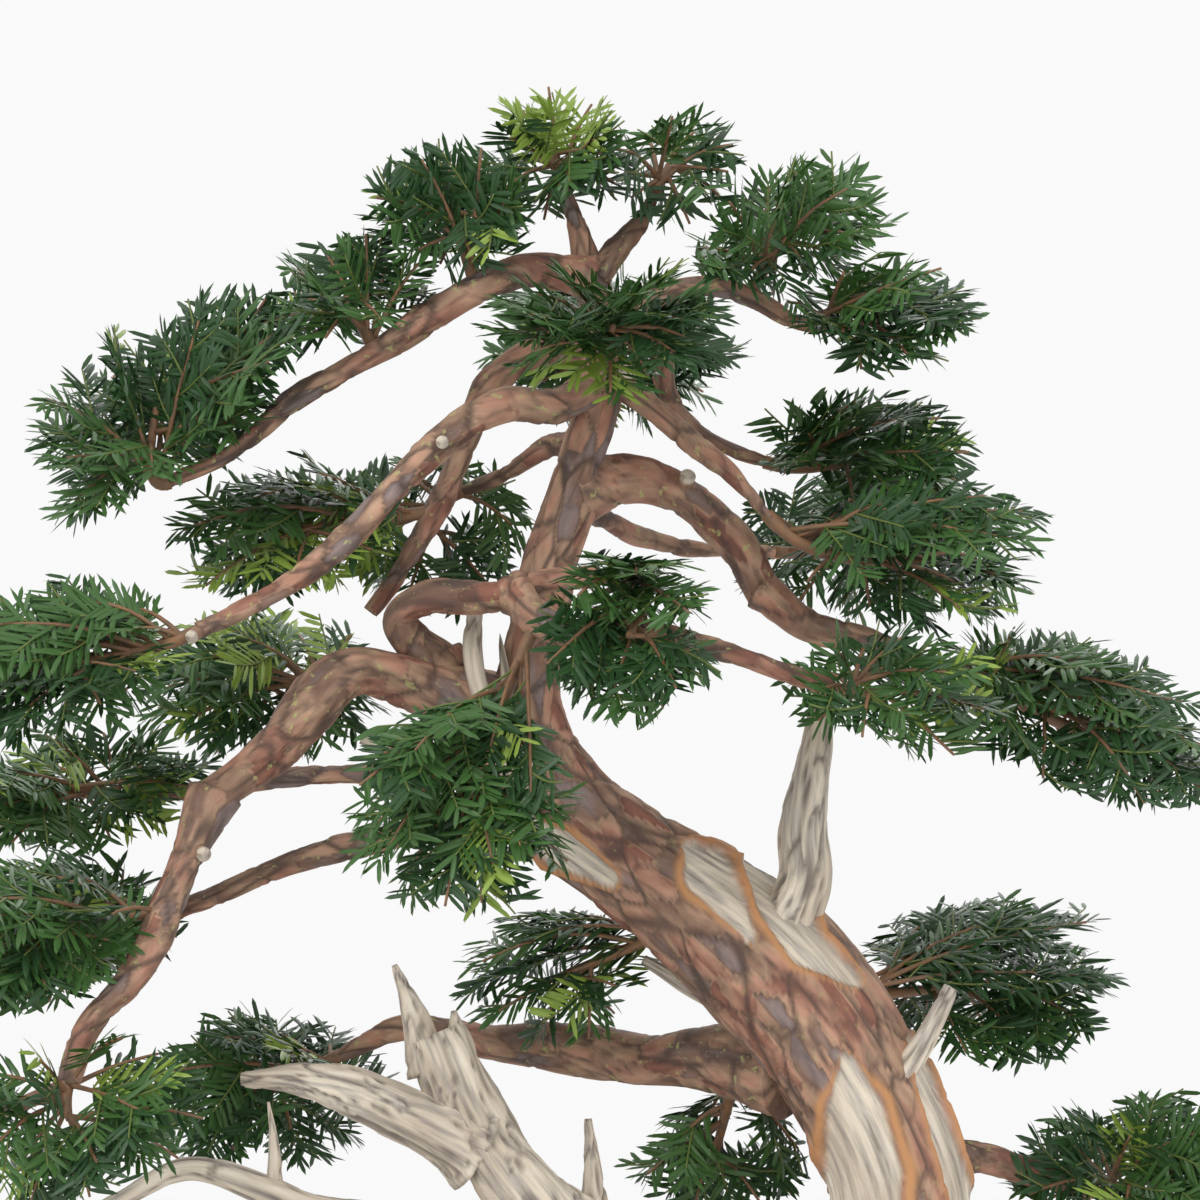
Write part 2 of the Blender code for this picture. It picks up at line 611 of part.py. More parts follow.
def pot_solid():
    under_lip = POT_HEIGHT - POT_LIP_HEIGHT
    inside = POT_LIP_INSET + POT_WALL
    pot = stacked("pot", [
        (0, POT_FOOT_INSET + POT_EDGE),
        (POT_EDGE, POT_FOOT_INSET),
        (POT_FOOT_HEIGHT, POT_FOOT_INSET),
        (POT_FOOT_HEIGHT + POT_EDGE, POT_WAIST_INSET + POT_LIP_INSET),
        (under_lip, POT_LIP_INSET),
        (under_lip + POT_EDGE, 0),
        (POT_HEIGHT - POT_EDGE, 0),
        (POT_HEIGHT, POT_EDGE),
        (POT_HEIGHT, inside - POT_EDGE),
        (POT_HEIGHT - POT_EDGE, inside),
        (POT_FLOOR, inside + POT_WAIST_INSET),
    ])
    for side in (-1, 1):
        x = side * DRAIN_OFFSET
        rows = np.array([(x, 0, -5, DRAIN_RADIUS), (x, 0, POT_FLOOR + 5, DRAIN_RADIUS)], float)
        boolean(pot, tube("drain", rows, 12), "DIFFERENCE")
    return pot


def soil_solid():
    inside = POT_LIP_INSET + POT_WALL + SEAT_GAP
    slope = POT_WAIST_INSET / (POT_HEIGHT - POT_EDGE - POT_FLOOR)
    edge = inside + slope * (POT_HEIGHT - POT_EDGE - SOIL_EDGE_LEVEL)
    return stacked("soil", [
        (POT_FLOOR + SEAT_GAP, inside + POT_WAIST_INSET),
        (SOIL_EDGE_LEVEL, edge),
        (SOIL_LEVEL - SEAT_GAP, edge + SOIL_BANK),
    ])


# Finishes
def finish(name, kind):
    """A plain material of its own for one sub-part, in the finish of its kind."""
    colour, roughness = FINISHES[kind]
    made = bpy.data.materials.new(name + "_" + kind)
    made.use_nodes = True
    shader = made.node_tree.nodes["Principled BSDF"]
    shader.inputs["Base Color"].default_value = (*colour, 1)
    shader.inputs["Roughness"].default_value = roughness
    shader.inputs["Metallic"].default_value = 0.0
    made.diffuse_color = (*colour, 1)
    return made


def dress(made, kind):
    """Gives the object its own finish, and shades it smooth round its curves."""
    made.data.materials.clear()
    made.data.materials.append(finish(made.name, kind))
    if kind != "needles":
        made.data.shade_smooth()
        made.data.set_sharp_from_angle(angle=SHARPEST_CURVE)


def main():
    for old in list(bpy.data.objects):
        bpy.data.objects.remove(old)
    samples = wood_samples()
    dress(pot_solid(), "pot")
    dress(soil_solid(), "soil")
    dress(trunk_solid("trunk"), "bark")
    for limb in LIMBS:
        made = limb_solid(limb)
        for parent in limb.parents:
            boolean(made, carrier_solid(parent, SEAT_GAP), "DIFFERENCE")
        keep_largest_body(made)
        dress(made, limb.wood)
    for mass in MASSES:
        dress(foliage_solid(mass, samples), "needles")


main()
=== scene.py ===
"""English yew bonsai: bark, bare wood, needles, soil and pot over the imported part.

The tables, and the code that grows the plant, are in millimetres. Settings and finishes are in metres.
"""

import math
import random
from collections import namedtuple

import bpy
import numpy as np
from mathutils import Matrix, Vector, noise


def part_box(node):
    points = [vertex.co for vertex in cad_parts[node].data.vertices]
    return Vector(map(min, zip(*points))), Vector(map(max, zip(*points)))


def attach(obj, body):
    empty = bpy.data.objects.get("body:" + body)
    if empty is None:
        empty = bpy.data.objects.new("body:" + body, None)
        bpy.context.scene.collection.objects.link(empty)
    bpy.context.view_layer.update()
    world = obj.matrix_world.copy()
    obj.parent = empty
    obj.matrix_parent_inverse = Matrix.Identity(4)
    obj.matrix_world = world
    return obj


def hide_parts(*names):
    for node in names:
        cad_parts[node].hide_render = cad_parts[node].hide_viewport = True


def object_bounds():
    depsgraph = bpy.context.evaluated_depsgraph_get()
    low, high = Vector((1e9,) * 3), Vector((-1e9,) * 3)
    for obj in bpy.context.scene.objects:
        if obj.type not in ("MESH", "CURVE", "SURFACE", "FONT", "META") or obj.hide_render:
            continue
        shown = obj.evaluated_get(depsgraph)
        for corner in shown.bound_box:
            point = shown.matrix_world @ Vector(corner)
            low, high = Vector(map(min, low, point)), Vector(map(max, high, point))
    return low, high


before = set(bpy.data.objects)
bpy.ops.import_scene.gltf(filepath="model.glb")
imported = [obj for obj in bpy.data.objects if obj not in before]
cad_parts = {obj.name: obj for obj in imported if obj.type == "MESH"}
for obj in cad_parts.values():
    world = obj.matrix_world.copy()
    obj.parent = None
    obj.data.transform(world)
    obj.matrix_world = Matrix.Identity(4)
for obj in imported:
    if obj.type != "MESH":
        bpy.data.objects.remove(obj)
CAD_BOX = [tuple(corner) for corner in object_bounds()]

bl_info = {
    "name": "English yew bonsai",
    "version": (1, 0, 0),
    "blender": (4, 5, 0),
    "location": "View3D > Sidebar > Bonsai",
    "description": "Dresses the bonsai's trunk, boughs, foliage, soil and pot",
    "category": "Object",
}

MM = 0.001

# Stage, in metres. Lights: name, place, size and power
FLOOR_RADIUS = 2.0
FLOOR_DROP = 0.0005
WORLD_STRENGTH = 0.95
SENSOR_WIDTH = 36
CAMERA_LENS = 168
CAMERA_PLACE = (-0.05, -2.8, 0.615)
LIT_PLACE = (-0.05, 0, 0.5)
LIGHTS = [
    ("key", (-1.4, -2.0, 2.4), 1.6, 34),
    ("fill", (2.0, -1.6, 1.2), 1.6, 12),
    ("back", (0.4, 2.2, 2.0), 1.6, 16),
]

# Spacing of the rings along a limb, and how many points go round each
RING_SPACING = 2.4
TRUNK_SIDES = 110
FORK_SIDES = 72
THICK_LIMB = 12
THICK_BOUGH_SIDES = 40
THICK_DEADWOOD_SIDES = 44
THIN_LIMB_SIDES = 28
SPLINTER_SIDES = 18
STUB_SIDES = 20

# Relief of the wood: sizes across and along the limb
PLATE = (8.5, 21)
PATCH = (22, 46)
LUMP = (16, 34)
SCAR_GRAIN = (3.2, 40)
DEAD_GRAIN = (3.0, 45)
DEAD_CRACK = (7, 70)
DEAD_RELIEF = 0.7
THICK_DEAD_RELIEF = 1.3
BOUGH_RELIEF_SHARE = 0.75

# Cracks, and the painted shade in them, run from dark to faint between these distances from a cell's edge
PLATE_CRACK = (0.02, 0.16)
PATCH_CRACK = (0.01, 0.10)
DEAD_CRACK_EDGE = (0.0, 0.10)

# Outline of a bough, as shares of its radius: the swollen collar, knots along it, and two twists
COLLAR = 0.30
KNOTS = 0.07
TWIST = 0.08
FINE_TWIST = 0.05

# Where the noise of each kind of wood starts, and how far it moves on from limb to limb
TRUNK_SEED = 3.0
PATCH_SEED_STEP = 7
BOUGH_SEED = 11.0
DEADWOOD_SEED = 50.0
LIMB_SEED_STEP = 3

# Bare scars on the trunk's front: x, z and half width at each bend of the middle line.
# The edge and the callus lie at shares of the half width.
SCARS = [
    [(-4, 491, 5), (4, 480, 13), (15, 464, 8), (24, 449, 3)],
    [(72, 387, 4), (76, 362, 15), (80, 330, 20), (80, 280, 17), (72, 225, 5)],
    [(106, 394, 4), (118, 355, 6), (131, 315, 7), (138, 262, 6), (134, 215, 3)],
    [(-94, 506, 5), (-70, 491, 10), (-46, 477, 5)],
    [(29, 484, 8), (40, 466, 13), (52, 444, 10), (76, 427, 4)],
]
NO_SCAR = 9.0
SCAR_EDGE = 0.86
SCAR_DEPTH = 2.2
CALLUS_PLACE = 1.16
CALLUS_SPREAD = 0.17
CALLUS_HEIGHT = 2.4

# Cut stubs: x, z and radius
STUBS = [(-127, 692, 3.2), (-241, 492, 3.6), (-333, 372, 3.6), (-36, 730, 5.2), (-247, 597, 3.2),
         (210, 540, 3.0), (-6, 677, 4.0)]
STUB_LENGTH = 4

# Twigs: radii at the root and at the tip, and the points of each line
STEM_RADII = (3.6, 1.9)
TWIG_RADII = (1.5, 0.7)
SHOOT_RADII = (0.75, 0.45)
STEM_SIDES = 8
TWIG_SIDES = 5
SHOOT_SIDES = 4
STEM_POINTS = 14
STEM_SINK = 3
STEM_BEND = 0.45
TWIG_SPANS = 8
SHOOT_POINTS = 6
MIDDLING_MASS = 60
SHORTEST_TWIG = 22
LONG_TWIG = 60
TWIG_REACH = (0.62, 0.97)
SHOOT_TURN = (34, 56)
SHOOT_SPACING = (9, 14)
SHOOT_LENGTHS = (0.75, 1.2)
SHOOT_LEAN = (-0.15, 0.2)
SHOOT_BOW = (-0.10, 0.05)
TWIG_BOW = (0.02, 0.12)

# Shares of the way along: a stem where twigs fork from it, and a twig where side shoots leave it
FIRST_FORK = 0.12
FORKED_STRETCH = 0.86
FIRST_SHOOT_LONG_TWIG = 0.18
FIRST_SHOOT_SHORT_TWIG = 0.3
LAST_SHOOT = 0.93

# Needles grow on a twig from this span on, and this far past its tip
LEAFY_SPAN = 3
LEAFY_TIP = 6

# Chances that decide a shoot's colour
TUFT_CHANCE = 0.7
YOUNG_CHANCE = 0.03
SAME_CHANCE = 0.6
DARK_CHANCE = 0.55

# Needles. Each point of a blade is given by its share of the needle's length, its share of the width to
# one side, and how far it is raised, as a share of the width.
MOST_NEEDLES = 20000
NEEDLE_OVERHANG = 9
NEEDLE_DEPTH = 1.05
NEEDLE_SWEEP = (42, 68)
TIP_SWEEP = 26
NEEDLE_LIFT = (-0.25, 0.30)
NEEDLE_LENGTHS = (0.78, 1.1)
SHORTEST_NEEDLE = 0.62
NEEDLE_DROOP = 0.10
BLADE = [(0, -0.22, 0), (0, 0.22, 0), (0.30, -0.5, 0), (0.34, 0, 0.16), (0.30, 0.5, 0),
         (0.78, -0.44, 0), (0.80, 0, 0.12), (0.78, 0.44, 0), (1, 0, 0)]
BLADE_FACES = [(0, 3, 2), (0, 1, 3), (1, 4, 3), (2, 6, 5), (2, 3, 6), (3, 7, 6), (3, 4, 7),
               (5, 6, 8), (6, 7, 8)]

# Places of new yellow-green growth, x and z, and how far they reach
TUFTS = [(-62, 705), (-250, 495), (-245, 602), (-67, 862), (-190, 640)]
TUFT_REACH = 30

# Soil: points round and across its surface, and its granules
SOIL_TURNS = 300
SOIL_RINGS = 84
SOIL_SQUARENESS = 5.0
SOIL_REACH = 0.985
SOIL_SKIRT = 12
GRANULE = 4.6
GRANULE_HEIGHT = 1.7
GRANULE_SINK = 1.2
GRANULE_SPREAD = 0.7

# Colours that the settings leave alone
GREY_BARK = (0.27, 0.21, 0.20)
# Bark in its cracks: darker bark, made near black with painted shade
BROWN_BARK = (0.25, 0.145, 0.10)
BARK_CRACK_SHADE = (0.06, 0.038, 0.03)
LICHEN = (0.42, 0.42, 0.16)
DEAD_SHADE = (0.30, 0.25, 0.20)
DEAD_LIGHT = (0.83, 0.77, 0.68)
# Bare wood in its cracks: painted shade over the darker wood there
DEAD_CRACK_SHADE = (0.13, 0.10, 0.085)
DARK_TWIG = (0.16, 0.10, 0.06)
GREEN_SHOOT = (0.13, 0.17, 0.04)
BLACK = (0, 0, 0)
WHITE = (1, 1, 1)

# Pot and trunk, as in the solids
POT_WALL = 12.0
POT_CORNER = 46.0
POT_LIP_INSET = 5.0
SOIL_LEVEL = 95.0
SOIL_EDGE_LEVEL = 87.0
ROOT_FLARE = 0.30
ROOT_COUNT = 5
ROOT_FADE = 32.0
BARK_WAVE = 0.045
TAPER = 0.85
SPRAY_LEAN = 0.8

# Trunk and its fork: x, y, z and radius at each bend, from the soil to the leader's tip
TRUNK_BENDS = [
    (46, 0, SOIL_LEVEL, 74),
    (50, 0, 120, 62),
    (60, 2, 160, 53),
    (80, 4, 215, 45),
    (96, 3, 268, 40),
    (100, 0, 315, 38),
    (87, -3, 357, 36),
    (60, -5, 402, 36),
    (36, -4, 430, 37),
    (14, -3, 450, 34),
    (-8, -2, 467, 30.5),
    (-37, 0, 487, 27),
    (-64, 0, 507, 26.5),
    (-80, 0, 530, 25),
    (-86, 0, 560, 18),
    (-84, 0, 585, 15.5),
    (-80, 0, 608, 15.5),
    (-75, 0, 636, 14.5),
    (-65, 0, 664, 14),
    (-58, 0, 690, 12),
    (-50, 0, 718, 11.5),
    (-49, 0, 752, 10.5),
    (-56, 0, 782, 7.5),
    (-61, 0, 802, 5),
    (-70, -1, 824, 3.2),
]
FORK_BENDS = [(-64, 0, 512, 20), (-98, -4, 542, 22), (-119, -7, 566, 19), (-130, -9, 589, 12)]

# Limbs: the radius at the base and at the tip, and the bends of the line. Each starts inside its
# parent.
Limb = namedtuple("Limb", "name base tip bends wood", defaults=("bark",))
LIMBS = [
    Limb("deadwood_trunk", 34, 13,
         [(52, -8, 205), (10, -20, 232), (-42, -26, 272), (-84, -27, 316), (-114, -27, 360),
          (-132, -25, 400)], "deadwood"),
    Limb("deadwood_upper_arm", 17, 4,
         [(-112, -28, 342), (-140, -36, 358), (-170, -40, 372), (-200, -41, 379),
          (-227, -41, 379)], "deadwood"),
    Limb("deadwood_lower_arm", 12, 3,
         [(-84, -28, 296), (-146, -40, 306), (-190, -45, 315), (-212, -46, 324), (-240, -47, 334),
          (-260, -48, 334), (-286, -48, 320), (-306, -48, 312)], "deadwood"),
    Limb("jin_upright", 16, 5.5,
         [(34, -8, 436), (51, -14, 474), (51, -16, 502), (55, -16, 530),
          (61, -15, 565)], "deadwood"),
    Limb("jin_right", 8, 3.4,
         [(84, -14, 358), (107, -22, 390), (124, -24, 423)], "deadwood"),
    Limb("jin_small", 6, 2.8,
         [(22, 8, 406), (-2, 15, 419), (-28, 20, 434)], "deadwood"),
    Limb("jin_left", 8, 3,
         [(-100, -8, 522), (-125, -20, 530), (-150, -24, 539), (-168, -25, 547)], "deadwood"),
    Limb("split_deadwood", 8, 3.6,
         [(-86, -22, 522), (-96, -28, 540), (-104, -30, 557), (-110, -28, 572), (-113, -23, 590),
          (-112, -19, 609)], "deadwood"),
    Limb("bough_apex", 7, 2.8,
         [(-52, 0, 776), (-40, 4, 793), (-28, 7, 807), (-22, 7, 822)]),
    Limb("bough_upper_left", 9.5, 3.2,
         [(-54, -3, 775), (-84, -9, 779), (-112, -14, 770), (-150, -22, 745), (-176, -26, 729),
          (-206, -29, 711), (-231, -32, 688), (-265, -35, 672)]),
    Limb("bough_front_left", 10, 4.5,
         [(-50, -3, 724), (-72, -32, 711), (-98, -44, 711), (-126, -55, 694), (-151, -67, 670),
          (-173, -75, 645), (-205, -84, 620), (-244, -93, 600)]),
    Limb("bough_back_left", 9, 4.2,
         [(-50, 5, 744), (-82, 16, 740), (-106, 20, 722), (-118, 22, 694), (-134, 24, 658),
          (-152, 27, 628), (-166, 28, 609)]),
    Limb("bough_back_upper", 7, 3,
         [(-58, 8, 692), (-76, 35, 693), (-98, 51, 679), (-122, 62, 670)]),
    Limb("bough_top_right", 8, 3.6,
         [(-50, -3, 748), (-26, -12, 763), (2, -17, 771), (24, -20, 765), (44, -20, 754)]),
    Limb("bough_right_front", 7.5, 3.2,
         [(-48, -6, 728), (-20, -20, 707), (0, -29, 689), (18, -35, 674), (34, -38, 655)]),
    Limb("bough_right_back", 6.5, 3,
         [(-48, 5, 756), (-22, 19, 746), (-15, 27, 718), (6, 32, 696), (36, 35, 684)]),
    Limb("bough_right_arch", 12, 8.5,
         [(-62, 3, 668), (-40, 7, 675), (-22, 9, 674), (-6, 12, 666), (12, 16, 650),
          (23, 18, 636), (34, 19, 614)]),
    Limb("bough_right_arch_end", 9.5, 4.5,
         [(31, 19, 620), (54, 14, 602), (82, 11, 596), (108, 8, 586)]),
    Limb("bough_left_twisted", 14, 10.5,
         [(-106, -12, 560), (-152, -29, 577), (-177, -41, 578), (-197, -52, 556),
          (-219, -64, 533), (-244, -75, 515)]),
    Limb("bough_left_twisted_end", 10, 5.5,
         [(-238, -72, 520), (-250, -87, 489), (-260, -99, 464), (-273, -110, 436),
          (-295, -122, 411), (-304, -130, 384)]),
    Limb("bough_loop", 10, 5.5,
         [(-126, -10, 580), (-143, -24, 594), (-149, -36, 607), (-134, -43, 616),
          (-100, -44, 617), (-78, -43, 624), (-50, -43, 626)]),
    Limb("bough_front_right", 9, 4,
         [(-92, -43, 618), (-80, -75, 606), (-62, -84, 597), (-38, -87, 600), (-8, -90, 594),
          (23, -93, 586), (65, -90, 571)]),
    Limb("bough_left_back", 7, 3.2,
         [(-104, 11, 536), (-150, 40, 528), (-201, 57, 525), (-251, 70, 518), (-292, 81, 513)]),
    Limb("bough_lower_left", 9, 4,
         [(-60, 8, 506), (-112, 40, 506), (-161, 62, 493), (-209, 78, 480), (-252, 92, 461),
          (-298, 105, 442)]),
    Limb("bough_low_left", 19, 3.6,
         [(46, 8, 380), (8, 35, 383), (-28, 57, 380), (-60, 70, 385), (-104, 81, 387),
          (-149, 92, 394), (-187, 103, 378)]),
    Limb("bough_low_right", 12, 4.4,
         [(92, 11, 330), (137, 38, 333), (165, 49, 325), (201, 57, 313)]),
    Limb("bough_back_right", 6, 3.2,
         [(-66, 8, 660), (-50, 40, 657), (-30, 73, 648), (-4, 105, 642), (43, 140, 640)]),
    Limb("bough_back_left_rear", 10, 3.8,
         [(-84, 11, 560), (-112, 62, 572), (-151, 116, 578), (-188, 159, 573)]),
]

# Splinters that stand out of the deadwood: the piece that each belongs to, its root, its tip and the
# radius at its root
SPLINTERS = [
    ("deadwood_trunk", (-134, -22, 380), (-152, -20, 434), 12),
    ("deadwood_trunk", (-120, -22, 378), (-123, -18, 411), 13),
    ("deadwood_trunk", (-52, -8, 262), (-56, -4, 356), 14),
    ("deadwood_lower_arm", (-210, -46, 322), (-213, -44, 368), 5),
    ("split_deadwood", (-97, -22, 552), (-100, -13, 598), 5),
]

# Masses of foliage: the limb that carries each, the place on it where the stem starts (None is the
# limb's tip), the middle of its space, the half sizes of that space, and its slope seen from the front
# in degrees
Mass = namedtuple("Mass", "name limb root middle half slope")
MASSES = [
    Mass("needles_apex", "trunk", None, (-72, -3, 838), (44, 60, 36), 0),
    Mass("needles_apex_right", "bough_apex", None, (-14, 8, 832), (40, 60, 34), 20),
    Mass("needles_upper_inner", "bough_upper_left", (-112, -14, 770),
         (-124, -12, 808), (48, 69, 38), 0),
    Mass("needles_upper_mid", "bough_upper_left", (-160, -23, 738),
         (-176, -14, 766), (48, 72, 34), 12),
    Mass("needles_upper_end", "bough_upper_left", None, (-269, -32, 710), (88, 74, 46), 34),
    Mass("needles_left_mid", "bough_back_left", (-134, 24, 658), (-208, 16, 650), (64, 69, 40), 10),
    Mass("needles_left_end", "bough_front_left", None, (-319, -84, 584), (84, 81, 42), 10),
    Mass("needles_left_low", "bough_left_back", None, (-320, 65, 519), (78, 78, 36), 8),
    Mass("needles_lower_left", "bough_lower_left", None, (-332, 89, 445), (74, 78, 40), 12),
    Mass("needles_left_front", "bough_left_twisted_end", (-260, -99, 464),
         (-331, -102, 454), (70, 72, 42), 12),
    Mass("needles_bottom_left", "bough_left_twisted_end", None, (-302, -139, 368), (68, 72, 46), 8),
    Mass("needles_centre_front", "bough_front_right", (-80, -75, 606),
         (-119, -122, 513), (64, 60, 54), 0),
    Mass("needles_centre_right", "bough_loop", None, (-36, -122, 598), (48, 56, 46), 0),
    Mass("needles_top_front", "trunk", (-50, 0, 735), (-44, -96, 747), (74, 63, 38), 0),
    Mass("needles_top_right", "bough_top_right", (24, -20, 765), (44, -17, 798), (60, 74, 38), 22),
    Mass("needles_top_right_end", "bough_top_right", None, (90, -20, 756), (54, 78, 32), 0),
    Mass("needles_right_upper", "bough_right_back", None, (88, 32, 690), (68, 78, 34), -8),
    Mass("needles_right_mid", "bough_right_front", None, (110, -12, 636), (76, 81, 42), 0),
    Mass("needles_right_far", "bough_right_arch_end", None, (196, 0, 554), (96, 94, 42), -22),
    Mass("needles_right_near", "bough_front_right", None, (91, -90, 572), (60, 69, 36), -8),
    Mass("needles_right_low", "trunk", (50, 0, 415), (154, 113, 416), (78, 103, 50), 8),
    Mass("needles_low_right", "bough_low_right", None, (232, 59, 326), (80, 87, 40), 0),
    Mass("needles_low_left", "bough_low_left", None, (-224, 108, 360), (70, 81, 48), 8),
    Mass("needles_low_front", "trunk", (4, 0, 458), (-74, 35, 423), (58, 38, 38), 10),
    Mass("needles_low_centre", "bough_low_left", (20, 27, 382), (8, 65, 328), (50, 60, 34), 0),
    Mass("needles_centre_back", "bough_back_upper", None, (-137, 84, 650), (54, 63, 48), 0),
    Mass("needles_back_top", "trunk", (-50, 0, 735), (-46, 151, 744), (82, 83, 44), 0),
    Mass("needles_back_right", "bough_back_right", None, (94, 189, 642), (80, 81, 44), 0),
    Mass("needles_back_left", "bough_back_left_rear", None, (-235, 197, 569), (80, 78, 44), 0),
]
BY_NAME = {limb.name: limb for limb in LIMBS}
REACH_LOW = 1000 * np.array(CAD_BOX[0]) - NEEDLE_OVERHANG
REACH_HIGH = 1000 * np.array(CAD_BOX[1]) + NEEDLE_OVERHANG


# Lines and round limbs
def run_along(line):
    """How far each point is along the line."""
    steps = np.linalg.norm(np.diff(line[:, :3], axis=0), axis=1)
    return np.concatenate([[0], np.cumsum(steps)])


def smooth_line(bends, spacing):
    """Points at an even spacing on a smooth line through the bends."""
    knots = np.array(bends, float)
    knots = np.vstack([2 * knots[0] - knots[1], knots, 2 * knots[-1] - knots[-2]])
    t = np.linspace(0, 1, 24, endpoint=False)[:, None]
    spans = []
    for a, b, c, d in zip(knots, knots[1:], knots[2:], knots[3:]):
        spans.append(0.5 * (2 * b + (c - a) * t + (2 * a - 5 * b + 4 * c - d) * t**2
                            + (3 * b - a - 3 * c + d) * t**3))
    line = np.vstack([*spans, knots[-2:-1]])
    run = run_along(line)
    even = np.linspace(0, run[-1], max(3, round(run[-1] / spacing) + 1))
    return np.stack([np.interp(even, run, line[:, i]) for i in range(line.shape[1])], 1)


def limb_line(limb, spacing):
    """Stations of a tapering limb: x, y, z and radius."""
    rows = smooth_line(limb.bends, spacing)
    share = np.linspace(1, 0, len(rows)) ** TAPER
    return np.column_stack([rows, limb.tip + (limb.base - limb.tip) * share])


def unit(v):
    """Vectors at length 1."""
    return v / np.maximum(np.linalg.norm(v, axis=-1, keepdims=True), 1e-9)


def crosswise(heading):
    """A direction square to the heading."""
    return unit(np.cross(heading, (0, 0, 1) if abs(heading[2]) < 0.8 else (0, 1, 0)))


def round_limb(rows, sides, outline=None, level_base=False):
    """Points, outward directions, triangles and places (across, beside, along) of a limb."""
    along = unit(np.gradient(rows[:, :3], axis=0))
    if level_base:
        along[0] = (0, 0, 1)
    across = np.array((1.0, 0, 0)) if level_base else crosswise(along[0])
    kept = []
    for heading in along:
        across = unit(across - heading * (across @ heading))
        kept.append(across)
    across = np.array(kept)[:, None]
    beside = np.cross(along, across[:, 0])[:, None]
    turn = np.arange(sides) * 2 * math.pi / sides
    run = run_along(rows)[:, None] + 0 * turn
    radius = rows[:, 3:4] * (1 + 0 * turn if outline is None else outline(rows, run, turn))
    out = across * np.cos(turn)[:, None] + beside * np.sin(turn)[:, None]
    points = (rows[:, None, :3] + radius[..., None] * out).reshape(-1, 3)
    place = np.stack([radius * np.cos(turn), radius * np.sin(turn), run], 2).reshape(-1, 3)
    faces = wall_faces(len(rows), sides)
    first, last = len(points), len(points) + 1
    step = np.arange(sides)
    after = (step + 1) % sides
    top = (len(rows) - 1) * sides
    faces.append(np.stack([after, step, np.full(sides, first)], 1))
    faces.append(np.stack([top + step, top + after, np.full(sides, last)], 1))
    points = np.vstack([points, rows[0, :3], rows[-1, :3]])
    out = np.vstack([out.reshape(-1, 3), -along[0], along[-1]])
    place = np.vstack([place, (0, 0, 0), (0, 0, run[-1, 0])])
    return points, out, np.vstack(faces), place


def wall_faces(rings, sides):
    """Triangles between rings of points, as two arrays."""
    ring, step = np.meshgrid(np.arange(rings - 1), np.arange(sides), indexing="ij")
    a = (ring * sides + step).ravel()
    b = (ring * sides + (step + 1) % sides).ravel()
    return [np.stack([a, b, b + sides], 1), np.stack([a, b + sides, a + sides], 1)]


def joined(parts):
    """Several shapes as one: each is points, triangles and any further values by point."""
    start = np.cumsum([0] + [len(part[0]) for part in parts[:-1]])
    points = np.vstack([part[0] for part in parts])
    faces = np.vstack([part[1] + first for part, first in zip(parts, start)])
    return points, faces, [np.concatenate(values) for values in zip(*(part[2:] for part in parts))]


def new_piece(name, points, faces, material, nodes, values=(), smooth=True):
    """A mesh in its place that rides on the plant, stands for the nodes and carries the values."""
    mesh = bpy.data.meshes.new(name)
    mesh.vertices.add(len(points))
    mesh.vertices.foreach_set("co", (np.asarray(points) * MM).astype(np.float32).ravel())
    mesh.loops.add(faces.size)
    mesh.loops.foreach_set("vertex_index", faces.astype(np.int32).ravel())
    mesh.polygons.add(len(faces))
    mesh.polygons.foreach_set("loop_start", np.arange(0, faces.size, 3, dtype=np.int32))
    mesh.update(calc_edges=True)
    for label, data in dict(values).items():
        single = data.ndim == 1
        layer = mesh.attributes.new(label, "FLOAT" if single else "FLOAT_VECTOR", "POINT")
        layer.data.foreach_set("value" if single else "vector", data.astype(np.float32).ravel())
    if smooth:
        mesh.shade_smooth()
    mesh.materials.append(material)
    piece = bpy.data.objects.new(name, mesh)
    bpy.context.scene.collection.objects.link(piece)
    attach(piece, "root")
    if nodes:
        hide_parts(*nodes)
    return piece


